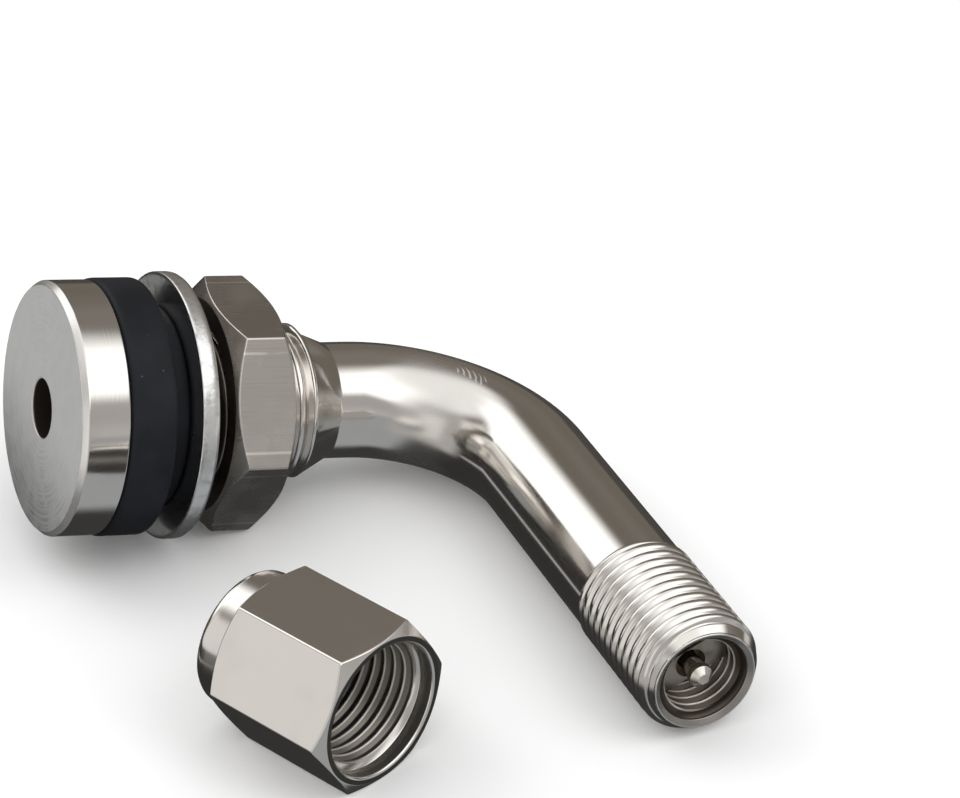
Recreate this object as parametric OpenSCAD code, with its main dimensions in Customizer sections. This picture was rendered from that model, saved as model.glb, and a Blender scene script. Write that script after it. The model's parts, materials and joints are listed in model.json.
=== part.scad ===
// Bent bolt-in tyre valve lying at rest, with its cap taken off beside it. Millimetres, +Z up.

/* [Head and shank] */
// Head disc diameter
head_d = 15.9; // [14.5:0.1:16.7]
// Head disc thickness
head_t = 3.1; // [2:0.1:4]
// Length of the broken edge round the head
head_edge = 0.4; // [0.2:0.05:0.8]
// Depth of the broken edge round the head
head_edge_in = 0.16; // [0.05:0.01:0.4]
// Shank thread outer diameter
shank_d = 10; // [9:0.1:11]
// Length of the shank from the head to the end of its thread
shank_len = 13.5; // [13:0.1:16]
// Shank thread end chamfer
shank_chamfer = 0.3; // [0.1:0.05:0.5]
// Air passage diameter
air_d = 3.7; // [3:0.1:4]

/* [Cone, bend and tip] */
// Large end of the cone after the shank
cone_d = 9.6; // [9:0.1:9.8]
// Length of the cone
cone_len = 2; // [1:0.1:3]
// Tube outer diameter
tube_d = 7.44; // [7.2:0.02:7.6]
// Straight tube between cone and bend
tube_len = 1.6; // [1.2:0.1:5]
// Bend radius at the tube's axis
bend_r = 9.6; // [7:0.1:14]
// Straight length from the bend to the mouth
tip_len = 24.8; // [24:0.1:32]
// Tip thread outer diameter
tip_d = 7.75; // [7.65:0.05:7.8]
// Tip thread length
tip_thread = 9.4; // [8:0.1:12]
// Length of the tip's lead-in chamfer
tip_chamfer = 1; // [0.5:0.1:1.5]
// Outer diameter of the flat rim at the mouth
tip_rim_d = 6.4; // [6:0.1:7]
// Mouth diameter
mouth_d = 5.6; // [5.4:0.05:5.8]
// Depth of the mouth's counterbore
mouth_depth = 0.4; // [0.3:0.1:1.2]

/* [Grommet, washer and nut] */
// Rubber flange thickness
grommet_t = 2.95; // [2:0.05:4]
// Diameter of the step that fills the rim hole
step_d = 12.8; // [12:0.1:14]
// Length of the step
step_len = 1.4; // [1:0.1:2]
// Rounding of the rubber edges
grommet_edge = 0.35; // [0.1:0.05:0.5]
// Washer diameter
washer_d = 16.8; // [16.7:0.1:18]
// How far the washer stands out past the rubber flange
washer_lip = 0.35; // [0.1:0.05:0.8]
// Washer thickness
washer_t = 1.25; // [1:0.05:1.6]
// Rounding of the washer's edge on the nut side
washer_edge = 0.5; // [0.2:0.05:0.8]
// Radial play between washer and shank
washer_play = 0.2; // [0.1:0.05:0.4]
// Gap between washer and nut
nut_gap = 1.5; // [1:0.1:2]
// Nut width across flats
nut_af = 14; // [13.5:0.1:15]
// Nut height
nut_h = 4.1; // [3.8:0.1:5]
// Diameter of the nut's bearing face
nut_face_d = 13.4; // [12.5:0.1:13.4]
// Countersink depth at the nut's bore
nut_sink = 0.4; // [0.2:0.1:0.6]

/* [Valve core] */
// Core thread outer diameter
core_d = 5.3; // [5.2:0.05:5.35]
// Depth of the pin's end below the mouth
pin_recess = 0.1; // [0.1:0.1:0.8]
// Depth of the plug's lugs below the mouth
plug_recess = 2; // [1.8:0.1:2.4]
// Plug length
plug_len = 4; // [3.6:0.1:4.5]
// Height of the plug's two lugs above its bridge
lug_h = 1.3; // [1:0.1:1.6]
// Space between the lugs
lug_space = 1.9; // [1.6:0.1:2.2]
// Height of the plug's bridge above its ring
bridge_h = 0.7; // [0.5:0.1:0.9]
// Width of the plug's bridge
bridge_w = 1.9; // [1.5:0.1:2.2]
// Turn of the plug's bridge in the tip
bridge_turn = 34; // [0:1:90]
// Plug ring bore
plug_bore = 3.9; // [3.7:0.1:4]
// Length of the barrel's neck inside the plug
neck_len = 1.2; // [0.8:0.1:1.6]
// Thickness of the barrel's shoulder under the plug
shoulder_t = 0.4; // [0.3:0.1:0.6]
// Diameter of the barrel's shoulder
shoulder_d = 4.7; // [4.4:0.1:4.9]
// Barrel outer diameter
barrel_d = 3.5; // [3.3:0.1:3.6]
// Barrel bore
barrel_bore = 2.3; // [2.2:0.1:2.5]
// Barrel length
barrel_len = 7; // [6.5:0.1:9]
// Thickness of the lip at the barrel's inner end
barrel_lip = 0.6; // [0.4:0.1:1]
// Bore of that lip
lip_bore = 1.7; // [1.5:0.1:1.8]
// Length of the tapered seat
seat_len = 1.6; // [1.2:0.1:2]
// Core chamber diameter
chamber_d = 4.2; // [4.1:0.1:4.4]
// Depth of the core chamber from the mouth
chamber_depth = 17; // [16:0.5:20]
// Pin diameter
pin_d = 1.2; // [1.1:0.05:1.25]
// Pin collar diameter
collar_d = 2; // [1.9:0.05:2.1]
// Pin collar thickness
collar_t = 0.5; // [0.3:0.1:0.8]
// Depth of the collar below the barrel's outer end
collar_recess = 0.8; // [0.5:0.1:1.2]
// Diameter of the peened end that holds the cup
peen_d = 1.6; // [1.4:0.1:2]
// Thickness of the peened end
peen_t = 0.4; // [0.3:0.1:0.6]
// Spring wire diameter
wire_d = 0.3; // [0.25:0.01:0.32]
// Spring mean coil diameter
coil_d = 1.8; // [1.75:0.01:1.85]
// Spring turns
coil_turns = 8; // [6:1:9]
// Cup diameter
cup_d = 3.7; // [3.5:0.1:3.8]
// Cup wall and floor
cup_wall = 0.3; // [0.2:0.05:0.4]
// Cup seal thickness
cup_seal_t = 0.9; // [0.7:0.1:1.2]
// How far the seal stands out of the cup
cup_seal_out = 0.3; // [0.2:0.1:0.4]

/* [Cap] */
// Cap width across flats
cap_af = 9.5; // [9.3:0.1:11]
// Length of the cap's hexagon
cap_hex = 9.1; // [7.5:0.1:10]
// Diameter of the round closed end
boss_d = 8.6; // [8:0.1:9]
// Length of the round closed end
boss_len = 2; // [1.5:0.1:4]
// Rounding of the closed end
boss_edge = 0.5; // [0.2:0.1:0.8]
// Diameter of the flat rim at each end of the cap's hexagon
cap_face_d = 9.3; // [8.9:0.1:9.3]
// Depth of the cap's bore
cap_depth = 8.6; // [8:0.1:9]
// Diameter of the counterbore at the cap's mouth
cap_mouth_d = 8.4; // [8:0.1:8.5]
// Depth of the counterbore at the cap's mouth
cap_mouth = 1.3; // [0.8:0.1:2]
// Cap seal thickness
cap_seal_t = 1; // [0.8:0.1:1.5]
// Depth of the groove that holds the cap seal
cap_groove = 0.2; // [0.1:0.05:0.3]
// Mouth of the cap along X from the head's centre
cap_x = 10.7; // [5:0.1:12]
// Mouth of the cap along Y from the head's centre
cap_y = -30.4; // [-40:0.1:-28]
// Heading of the cap's closed end
cap_yaw = 115.5; // [100:0.5:140]

/* [Fits] */
// Radial clearance of the thread fits
thread_clear = 0.05; // [0.02:0.01:0.1]
// Gap between pieces that seat on each other
seat_gap = 0.02; // [0.01:0.01:0.05]
// Running clearance round the pin
pin_clear = 0.1; // [0.05:0.05:0.2]
// Gap of the closed valve seat
valve_gap = 0.05; // [0.02:0.01:0.1]

/* [Hidden] */
$fn = 96;

chamfer_slope = tan(30);
hex_corner = 1 / cos(30);
shank_end = head_t + shank_len;
cone_end = shank_end + cone_len;
bend_start = cone_end + tube_len;
tip_x = bend_start + bend_r;
mouth_y = bend_r + tip_len;
tip_runout = tip_d - tube_d;
grommet_d = washer_d - 2 * washer_lip;
step_x = head_t + grommet_t;
washer_x = step_x + step_len;
nut_x = washer_x + washer_t + nut_gap;
nut_cut = (nut_af - nut_face_d) / 2 * chamfer_slope;

// Core depths, measured inward from the mouth
lug_end = plug_recess + lug_h;
ring_top = lug_end + bridge_h;
plug_end = plug_recess + plug_len;
barrel_end = plug_end + seat_gap + barrel_len;
seat_start = plug_end + 2 * seat_gap + shoulder_t;
collar_top = plug_end + seat_gap + collar_recess;
spring_top = collar_top + collar_t + seat_gap;
spring_end = barrel_end - barrel_lip - seat_gap;
seal_top = barrel_end + valve_gap;
cup_top = seal_top + cup_seal_out;
cup_floor = seal_top + cup_seal_t + seat_gap;
cup_end = cup_floor + cup_wall;
pin_end = cup_end + seat_gap + peen_t;

// Rest: the washer's edge, the nut's lowest flat and the tip's thread touch the floor
rest_a = nut_x + nut_h - nut_cut - (washer_x + washer_t - washer_edge);
rest_b = washer_d / 2 - washer_edge - nut_af / 2;
rest_pitch = atan2(rest_b, rest_a) + asin(washer_edge / norm([rest_a, rest_b]));
rest_z = sin(rest_pitch) * (washer_x + washer_t - washer_edge)
    + cos(rest_pitch) * (washer_d / 2 - washer_edge) + washer_edge;
tip_low = mouth_y - tip_chamfer;
tip_turn = asin((rest_z - sin(rest_pitch) * tip_x) / norm([tip_low, tip_d / 2]))
    - atan2(tip_d / 2, tip_low);
rest_roll = asin(sin(tip_turn) / cos(rest_pitch));

// Box in plan, from the discs that reach farthest: centre, axis and radius of each
view_x = [cos(rest_pitch), sin(rest_pitch) * sin(rest_roll), sin(rest_pitch) * cos(rest_roll)];
view_y = [0, cos(rest_roll), -sin(rest_roll)];
discs = [
    [[0, 0, 0], [1, 0, 0], head_d / 2 - head_edge_in],
    [[head_edge, 0, 0], [1, 0, 0], head_d / 2],
    [[washer_x, 0, 0], [1, 0, 0], washer_d / 2],
    [[tip_x, -tip_low, 0], [0, 1, 0], tip_d / 2],
    [[tip_x, -mouth_y + tip_thread, 0], [0, 1, 0], tip_d / 2],
    [[tip_x, -mouth_y, 0], [0, 1, 0], tip_rim_d / 2]
];
function reach(d) = max([for (k = discs) k[0] * d + k[2] * sqrt(max(0, 1 - pow(k[1] * d, 2)))]);
cap_dir = [cos(cap_yaw), sin(cap_yaw)];
cap_side = [-sin(cap_yaw), cos(cap_yaw)] * cap_af * hex_corner / 2;
cap_pts = [for (a = [0, cap_hex], s = [-1, 1]) [cap_x, cap_y] + a * cap_dir + s * cap_side];
boss_at = [cap_x, cap_y] + (cap_hex + boss_len - boss_edge) * cap_dir;
function boss_reach(d) = boss_at * d + boss_d / 2 * abs(cross(cap_dir, d)) + boss_edge * abs(cap_dir * d);
function plan(d, e) = max(concat([reach(d), boss_reach(e)], [for (k = cap_pts) k * e]));
mid_x = (plan(view_x, [1, 0]) - plan(-view_x, [-1, 0])) / 2;
mid_y = (plan(view_y, [0, 1]) - plan(-view_y, [0, -1])) / 2;

arc_steps = 6;
wire_sides = 8;
turn_steps = 16;
over = 0.5;

function arc(c, r, a0, a1) = [for (i = [0:arc_steps])
    let (a = a0 + (a1 - a0) * i / arc_steps) c + r * [cos(a), sin(a)]];

// Puts a piece built along the stem's axis into its place at rest
module rest() {
    translate([-mid_x, -mid_y, rest_z])
        rotate([0, rest_pitch, 0])
            rotate([rest_roll, 0, 0])
                children();
}

// Turns a piece built along +Z onto the stem's axis, with Z counted from the head's face
module on_stem() {
    rest() rotate([0, 90, 0]) children();
}

// Puts a piece built along +Z into the tip, with Z zero at the mouth and plus outward
module in_tip() {
    rest() translate([tip_x, -mouth_y, 0]) rotate([90, 0, 0]) children();
}

// Lays a piece built along +Z from the cap's mouth on its flat on the floor
module cap_place() {
    translate([cap_x - mid_x, cap_y - mid_y, cap_af / 2])
        rotate([0, 0, cap_yaw])
            rotate([0, 90, 0])
                children();
}

module turned_shank() {
    rotate_extrude()
        polygon([
            [0, 0],
            [head_d / 2 - head_edge_in, 0],
            [head_d / 2, head_edge],
            [head_d / 2, head_t - head_edge_in],
            [head_d / 2 - head_edge_in, head_t],
            [shank_d / 2, head_t],
            [shank_d / 2, shank_end - shank_chamfer],
            [cone_d / 2, shank_end],
            [tube_d / 2, cone_end],
            [tube_d / 2, bend_start],
            [0, bend_start]
        ]);
}

module turned_tip() {
    rotate_extrude()
        polygon([
            [0, -tip_len],
            [tube_d / 2, -tip_len],
            [tube_d / 2, -tip_thread - tip_runout],
            [tip_d / 2, -tip_thread],
            [tip_d / 2, -tip_chamfer],
            [tip_rim_d / 2, 0],
            [0, 0]
        ]);
}

module core_space() {
    rotate_extrude()
        polygon([
            [0, over],
            [mouth_d / 2, over],
            [mouth_d / 2, -mouth_depth],
            [core_d / 2, -mouth_depth - (mouth_d - core_d) / 2],
            [core_d / 2, -seat_start],
            [chamber_d / 2, -seat_start - seat_len],
            [chamber_d / 2, -chamber_depth],
            [air_d / 2, -chamber_depth - (chamber_d - air_d) / 2],
            [air_d / 2, -tip_len],
            [0, -tip_len]
        ]);
}

module bend(d) {
    translate([bend_start, -bend_r, 0])
        rotate_extrude(angle = 90)
            translate([bend_r, 0])
                circle(d = d);
}

module to_mouth() {
    translate([tip_x, -mouth_y, 0]) rotate([90, 0, 0]) children();
}

module stem() {
    color("silver")
        rest() difference() {
            union() {
                rotate([0, 90, 0]) turned_shank();
                bend(tube_d);
                to_mouth() turned_tip();
            }
            rotate([0, 90, 0]) translate([0, 0, -over]) cylinder(d = air_d, h = bend_start + over);
            bend(air_d);
            to_mouth() core_space();
        }
}

module rim_grommet() {
    bore_r = shank_d / 2 + thread_clear;
    e = grommet_edge;
    color("dimgray")
        on_stem() rotate_extrude() polygon(concat(
            [[bore_r, head_t]],
            arc([grommet_d / 2 - e, head_t + e], e, -90, 0),
            arc([grommet_d / 2 - e, step_x - e], e, 0, 90),
            [[step_d / 2, step_x]],
            arc([step_d / 2 - e, washer_x - e], e, 0, 90),
            [[bore_r, washer_x]]
        ));
}

module washer() {
    bore_r = shank_d / 2 + washer_play;
    e = washer_edge;
    color("gainsboro")
        on_stem() translate([0, 0, washer_x + seat_gap]) rotate_extrude() polygon(concat(
            [[bore_r, 0], [washer_d / 2, 0]],
            arc([washer_d / 2 - e, washer_t - seat_gap - e], e, 0, 90),
            [[bore_r, washer_t - seat_gap]]
        ));
}

module hex_nut() {
    bore_r = shank_d / 2 + thread_clear;
    far_r = nut_af * hex_corner;
    far_cut = (far_r - nut_face_d / 2) * chamfer_slope;
    color("lightgray")
        on_stem() translate([0, 0, nut_x]) difference() {
            intersection() {
                rotate([0, 0, 30 - rest_roll]) cylinder(d = nut_af * hex_corner, h = nut_h, $fn = 6);
                rotate_extrude() polygon([
                    [0, 0],
                    [nut_face_d / 2, 0],
                    [far_r, far_cut],
                    [far_r, nut_h - far_cut],
                    [nut_face_d / 2, nut_h],
                    [0, nut_h]
                ]);
            }
            rotate_extrude() polygon([
                [0, -over],
                [bore_r + nut_sink + over, -over],
                [bore_r, nut_sink],
                [bore_r, nut_h - nut_sink],
                [bore_r + nut_sink + over, nut_h + over],
                [0, nut_h + over]
            ]);
        }
}

module core_plug() {
    plug_r = core_d / 2 - thread_clear;
    color("goldenrod")
        in_tip() rotate([0, 0, bridge_turn]) difference() {
            union() {
                translate([0, 0, -plug_end]) cylinder(r = plug_r, h = plug_end - ring_top);
                intersection() {
                    translate([0, 0, -ring_top]) cylinder(r = plug_r, h = ring_top - plug_recess);
                    translate([-core_d, -bridge_w / 2, -plug_end]) cube([2 * core_d, bridge_w, plug_len]);
                }
            }
            translate([0, 0, -plug_end - over]) cylinder(d = plug_bore, h = plug_end - ring_top + over);
            translate([0, 0, -plug_end]) cylinder(d = pin_d + 2 * pin_clear, h = plug_len + over);
            translate([0, 0, -lug_end]) cylinder(d = lug_space, h = lug_h + over);
        }
}

module core_barrel() {
    color("darkgoldenrod")
        in_tip() translate([0, 0, -barrel_end]) difference() {
            union() {
                cylinder(d = barrel_d, h = barrel_len);
                translate([0, 0, barrel_len - shoulder_t]) cylinder(d = shoulder_d, h = shoulder_t);
                translate([0, 0, barrel_len - shoulder_t])
                    cylinder(d = plug_bore - 2 * seat_gap, h = shoulder_t + neck_len);
            }
            translate([0, 0, barrel_lip]) cylinder(d = barrel_bore, h = barrel_len + neck_len);
            translate([0, 0, -over]) cylinder(d = lip_bore, h = barrel_len);
        }
}

module core_barrel_seal() {
    color("firebrick")
        in_tip() rotate_extrude() polygon([
            [barrel_d / 2 + seat_gap, -seat_start],
            [core_d / 2 - thread_clear, -seat_start],
            [chamber_d / 2 - thread_clear, -seat_start - seat_len],
            [barrel_d / 2 + seat_gap, -seat_start - seat_len]
        ]);
}

module core_pin() {
    color("gold")
        in_tip() {
            translate([0, 0, -pin_end]) cylinder(d = pin_d, h = pin_end - pin_recess);
            translate([0, 0, -collar_top - collar_t]) cylinder(d = collar_d, h = collar_t);
            translate([0, 0, -pin_end]) cylinder(d = peen_d, h = peen_t);
        }
}

module core_spring() {
    steps = coil_turns * turn_steps;
    rise = spring_end - spring_top - wire_d;
    ring = [for (i = [0:steps]) [for (j = [0:wire_sides - 1])
        let (a = 360 * i / turn_steps, b = 360 * j / wire_sides, r = coil_d / 2 + wire_d / 2 * cos(b))
            [r * cos(a), r * sin(a), -spring_end + wire_d / 2 + rise * i / steps + wire_d / 2 * sin(b)]]];
    pts = [for (k = ring) for (p = k) p];
    side = [for (i = [0:steps - 1]) for (j = [0:wire_sides - 1])
        let (a = i * wire_sides + j, b = i * wire_sides + (j + 1) % wire_sides)
            [a, a + wire_sides, b + wire_sides, b]];
    first = [for (j = [0:wire_sides - 1]) j];
    last = [for (j = [wire_sides - 1:-1:0]) steps * wire_sides + j];
    color("lightsteelblue")
        in_tip() polyhedron(points = pts, faces = concat([first], side, [last]));
}

module core_cup() {
    color("khaki")
        in_tip() difference() {
            translate([0, 0, -cup_end]) cylinder(d = cup_d, h = cup_end - cup_top);
            translate([0, 0, -cup_floor]) cylinder(d = cup_d - 2 * cup_wall, h = cup_floor);
            translate([0, 0, -cup_end - over]) cylinder(d = pin_d + 2 * seat_gap, h = cup_end);
        }
}

module core_cup_seal() {
    color("black")
        in_tip() difference() {
            translate([0, 0, -seal_top - cup_seal_t])
                cylinder(d = cup_d - 2 * cup_wall - 2 * seat_gap, h = cup_seal_t);
            translate([0, 0, -cup_end]) cylinder(d = pin_d + 2 * seat_gap, h = cup_end);
        }
}

module cap() {
    bore_r = tip_d / 2 + thread_clear;
    far_r = cap_af * hex_corner;
    far_cut = (far_r - cap_face_d / 2) * chamfer_slope;
    e = boss_edge;
    color("silver")
        cap_place() difference() {
            union() {
                intersection() {
                    rotate([0, 0, 30]) cylinder(d = cap_af * hex_corner, h = cap_hex, $fn = 6);
                    rotate_extrude() polygon([
                        [0, 0],
                        [cap_face_d / 2, 0],
                        [far_r, far_cut],
                        [far_r, cap_hex - far_cut],
                        [cap_face_d / 2, cap_hex],
                        [0, cap_hex]
                    ]);
                }
                rotate_extrude() polygon(concat(
                    [[0, 0], [boss_d / 2, 0]],
                    arc([boss_d / 2 - e, cap_hex + boss_len - e], e, 0, 90),
                    [[0, cap_hex + boss_len]]
                ));
            }
            rotate_extrude() polygon([
                [0, -over],
                [cap_mouth_d / 2, -over],
                [cap_mouth_d / 2, cap_mouth - (cap_mouth_d / 2 - bore_r)],
                [bore_r, cap_mouth],
                [bore_r, cap_depth - cap_seal_t],
                [bore_r + cap_groove, cap_depth - cap_seal_t],
                [bore_r + cap_groove, cap_depth],
                [0, cap_depth]
            ]);
        }
}

module cap_seal() {
    color("black")
        cap_place() translate([0, 0, cap_depth - cap_seal_t + seat_gap])
            cylinder(r = tip_d / 2 + thread_clear + cap_groove - seat_gap, h = cap_seal_t - 2 * seat_gap);
}

stem();
rim_grommet();
washer();
hex_nut();
core_plug();
core_barrel();
core_barrel_seal();
core_pin();
core_spring();
core_cup();
core_cup_seal();
cap();
cap_seal();
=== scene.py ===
"""Looks of a bent bolt-in tyre valve that lies at rest, with its cap taken off beside it.

Sizes are in millimetres, angles in degrees and turns in shares of a full turn. Meshes are made in
metres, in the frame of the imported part, so every piece is built straight into its place.
"""
import json
import logging
import math
from collections.abc import Callable, Sequence
from dataclasses import dataclass, field, fields
from enum import Enum

import bmesh
import bpy
from mathutils import Euler, Matrix, Vector

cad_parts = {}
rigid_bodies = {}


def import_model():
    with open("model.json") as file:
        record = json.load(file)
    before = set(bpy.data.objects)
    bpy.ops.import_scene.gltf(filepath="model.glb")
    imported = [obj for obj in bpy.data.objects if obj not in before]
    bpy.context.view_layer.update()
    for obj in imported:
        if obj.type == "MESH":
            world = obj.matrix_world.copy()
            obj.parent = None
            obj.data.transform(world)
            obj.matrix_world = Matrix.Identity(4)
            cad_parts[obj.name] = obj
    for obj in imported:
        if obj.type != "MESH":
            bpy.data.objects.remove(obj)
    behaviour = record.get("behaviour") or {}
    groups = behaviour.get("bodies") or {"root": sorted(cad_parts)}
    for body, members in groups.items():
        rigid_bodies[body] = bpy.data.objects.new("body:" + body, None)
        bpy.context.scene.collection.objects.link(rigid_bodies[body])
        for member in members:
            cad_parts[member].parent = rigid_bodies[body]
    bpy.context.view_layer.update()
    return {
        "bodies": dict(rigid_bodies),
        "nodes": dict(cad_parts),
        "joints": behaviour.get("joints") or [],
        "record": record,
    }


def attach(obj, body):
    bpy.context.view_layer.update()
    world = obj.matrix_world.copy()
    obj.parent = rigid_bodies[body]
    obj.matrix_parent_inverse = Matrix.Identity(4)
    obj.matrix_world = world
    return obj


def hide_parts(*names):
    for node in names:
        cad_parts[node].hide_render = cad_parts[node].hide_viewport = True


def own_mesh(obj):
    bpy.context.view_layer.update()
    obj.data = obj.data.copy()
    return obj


LOG = logging.getLogger("valve")
MM = 0.001
MERGE = 1e-7
ROUND_STEPS = 120
HEX_SIDES = 6
BREAK_STEPS = 4
BREAK_LIMIT = 0.4
KEEP_FLAT = 1.8
KEEP_FLAT_LIMIT = 0.48
PITCH_STEPS = 14
HALF_SIDE = math.pi / HEX_SIDES
CHAMFER_SLOPE = math.tan(math.radians(30))
UP = Vector((0.0, 0.0, 1.0))
Colour = tuple[float, float, float]
Triple = tuple[float, float, float]
Settings = dict[str, object]
Sockets = dict[int | str, object]


# Node trees

def operator(operation: str, flipped: bool = False) -> Callable[["Value", "Value | float"], "Value"]:
    """Makes an operator on two values that adds one Math node.

    Args:
        operation: the node's operation.
        flipped: whether the other value comes first, as in 1 - mask.

    Returns:
        The method.
    """
    def method(self: "Value", other: "Value | float") -> "Value":
        """The node's result."""
        return self.maths(operation, *((other, self) if flipped else (self, other)))

    return method


class Value:
    """A number socket of a node tree that takes Python's operators, each adding one Math node."""

    def __init__(self, kit: "NodeKit", socket: bpy.types.NodeSocket) -> None:
        self.kit = kit
        self.socket = socket

    def maths(self, operation: str, *operands: "Value | float") -> "Value":
        """Result of a Math node on the operands, in order."""
        return self.kit.number("ShaderNodeMath", {"operation": operation}, dict(enumerate(operands)))

    __add__ = __radd__ = operator("ADD")
    __sub__ = operator("SUBTRACT")
    __rsub__ = operator("SUBTRACT", flipped=True)
    __mul__ = __rmul__ = operator("MULTIPLY")
    __truediv__ = operator("DIVIDE")
    __rtruediv__ = operator("DIVIDE", flipped=True)
    least = operator("MINIMUM")
    most = operator("MAXIMUM")

    def __abs__(self) -> "Value":
        """Size without sign."""
        return self.maths("ABSOLUTE", self)

    def fract(self) -> "Value":
        """Share past the last whole number."""
        return self.maths("FRACT", self)

    def arc_sine(self) -> "Value":
        """Angle in degrees whose sine this is."""
        return self.maths("ARCSINE", self) * math.degrees(1)

    def angle_from(self, ahead: "Value") -> "Value":
        """Angle in degrees from a direction ahead to this one aside."""
        return self.maths("ARCTAN2", self, ahead) * math.degrees(1)

    def rise(self, low: float, high: float) -> "Value":
        """Smooth step that is still 0 at low and has reached 1 at high."""
        sockets = {"Value": self, "From Min": low, "From Max": high, "To Min": 0.0, "To Max": 1.0}
        return self.kit.number("ShaderNodeMapRange", {"interpolation_type": "SMOOTHSTEP"}, sockets)


class NodeKit:
    """Adds nodes to one tree."""

    def __init__(self, tree: bpy.types.NodeTree) -> None:
        """Starts on a tree."""
        self.tree = tree

    @staticmethod
    def find(bank: Sequence[bpy.types.NodeSocket], key: int | str) -> bpy.types.NodeSocket:
        """Finds a socket.

        Args:
            bank: a node's inputs or outputs.
            key: a number, an identifier or a name.

        Returns:
            The socket.
        """
        if isinstance(key, int):
            return bank[key]
        exact = [socket for socket in bank if socket.identifier == key]
        return exact[0] if exact else next(socket for socket in bank if socket.name == key)

    def node(self, kind: str, settings: Settings | None = None,
             sockets: Sockets | None = None) -> bpy.types.Node:
        """Adds a node.

        Args:
            kind: the node's type.
            settings: its properties, set before its sockets.
            sockets: values or links of its inputs, by number, identifier or name.

        Returns:
            The node.
        """
        made = self.tree.nodes.new(kind)
        for name, setting in (settings or {}).items():
            setattr(made, name, setting)
        for key, given in (sockets or {}).items():
            socket = self.find(made.inputs, key)
            link = given.socket if isinstance(given, Value) else given
            if isinstance(link, bpy.types.NodeSocket):
                self.tree.links.new(link, socket)
            elif socket.type == "RGBA":
                socket.default_value = (*given, 1.0)
            else:
                socket.default_value = given
        return made

    def value(self, node: bpy.types.Node, key: int | str = 0) -> Value:
        """Wraps one of a node's outputs as a number."""
        return Value(self, self.find(node.outputs, key))

    def number(self, kind: str, settings: Settings | None, sockets: Sockets, key: int | str = 0) -> Value:
        """Adds a node and wraps one of its outputs as a number; see node and value."""
        return self.value(self.node(kind, settings, sockets), key)

    def mix(self, share: Value | float, first: object, second: object) -> bpy.types.NodeSocket:
        """Mixes two colours, of which the second has the given share."""
        sockets = {"Factor_Float": share, "A_Color": first, "B_Color": second}
        return self.find(self.node("ShaderNodeMix", {"data_type": "RGBA"}, sockets).outputs, "Result_Color")

    def dot(self, vector: bpy.types.NodeSocket, direction: Sequence[float]) -> Value:
        """How far a vector reaches along a direction."""
        sockets = {0: vector, 1: tuple(direction)}
        return self.number("ShaderNodeVectorMath", {"operation": "DOT_PRODUCT"}, sockets, "Value")

    def point(self) -> bpy.types.NodeSocket:
        """The shaded point in Object coordinates."""
        return self.find(self.node("ShaderNodeTexCoord").outputs, "Object")

    def mark(self, name: str) -> Value:
        """A mark that the piece's mesh carries as an attribute."""
        return self.number("ShaderNodeAttribute", {"attribute_name": name}, {}, "Fac")

    def noise(self, vector: object, scale: float, detail: float = 2.0) -> Value:
        """Cloudy noise at a place, about 0.5 on average, with so many clouds in a unit."""
        return self.number("ShaderNodeTexNoise", None, {"Vector": vector, "Scale": scale, "Detail": detail})

    def lines(self, place: Value, per_mm: float) -> Value:
        """Fine uneven lines across a coordinate in millimetres, about 0.5 high on average."""
        sockets = {"W": place, "Scale": per_mm, "Detail": 3.0}
        return self.number("ShaderNodeTexNoise", {"noise_dimensions": "1D"}, sockets)

    def relief(self, height: Value, depth: float) -> bpy.types.NodeSocket:
        """The normal of a relief whose height of 1 stands for a depth in millimetres."""
        sockets = {"Height": height, "Distance": depth * MM, "Strength": 1.0}
        return self.node("ShaderNodeBump", None, sockets).outputs[0]


def fresh_tree(owner: bpy.types.Material | bpy.types.World) -> NodeKit:
    """Empties the node tree of a material or world.

    Args:
        owner: the material or world.

    Returns:
        A builder on its tree.
    """
    owner.use_nodes = True
    owner.node_tree.nodes.clear()
    return NodeKit(owner.node_tree)


def shaded(name: str, kind: str, paint: Callable[[NodeKit], Sockets]) -> bpy.types.Material:
    """Makes a material with one shader.

    Args:
        name: the material's name.
        kind: the type of the shader's node.
        paint: gives the values or links of the shader's sockets.

    Returns:
        The material.
    """
    made = bpy.data.materials.new(name)
    kit = fresh_tree(made)
    shader = kit.node(kind, None, paint(kit))
    kit.node("ShaderNodeOutputMaterial", None, {"Surface": shader.outputs[0]})
    return made


# Finishes

@dataclass(frozen=True)
class Finish:
    """A surface finish, made as one material."""

    name: str

    def sockets(self, kit: NodeKit) -> Sockets:
        """What the finish sets on its shader.

        Args:
            kit: builder of the material's tree.

        Returns:
            Values or links of the shader's sockets.
        """
        raise NotImplementedError

    def material(self) -> bpy.types.Material:
        """The finish's material, made at its first use."""
        made = bpy.data.materials.get(self.name)
        return made or shaded(self.name, "ShaderNodeBsdfPrincipled", self.sockets)


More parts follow.
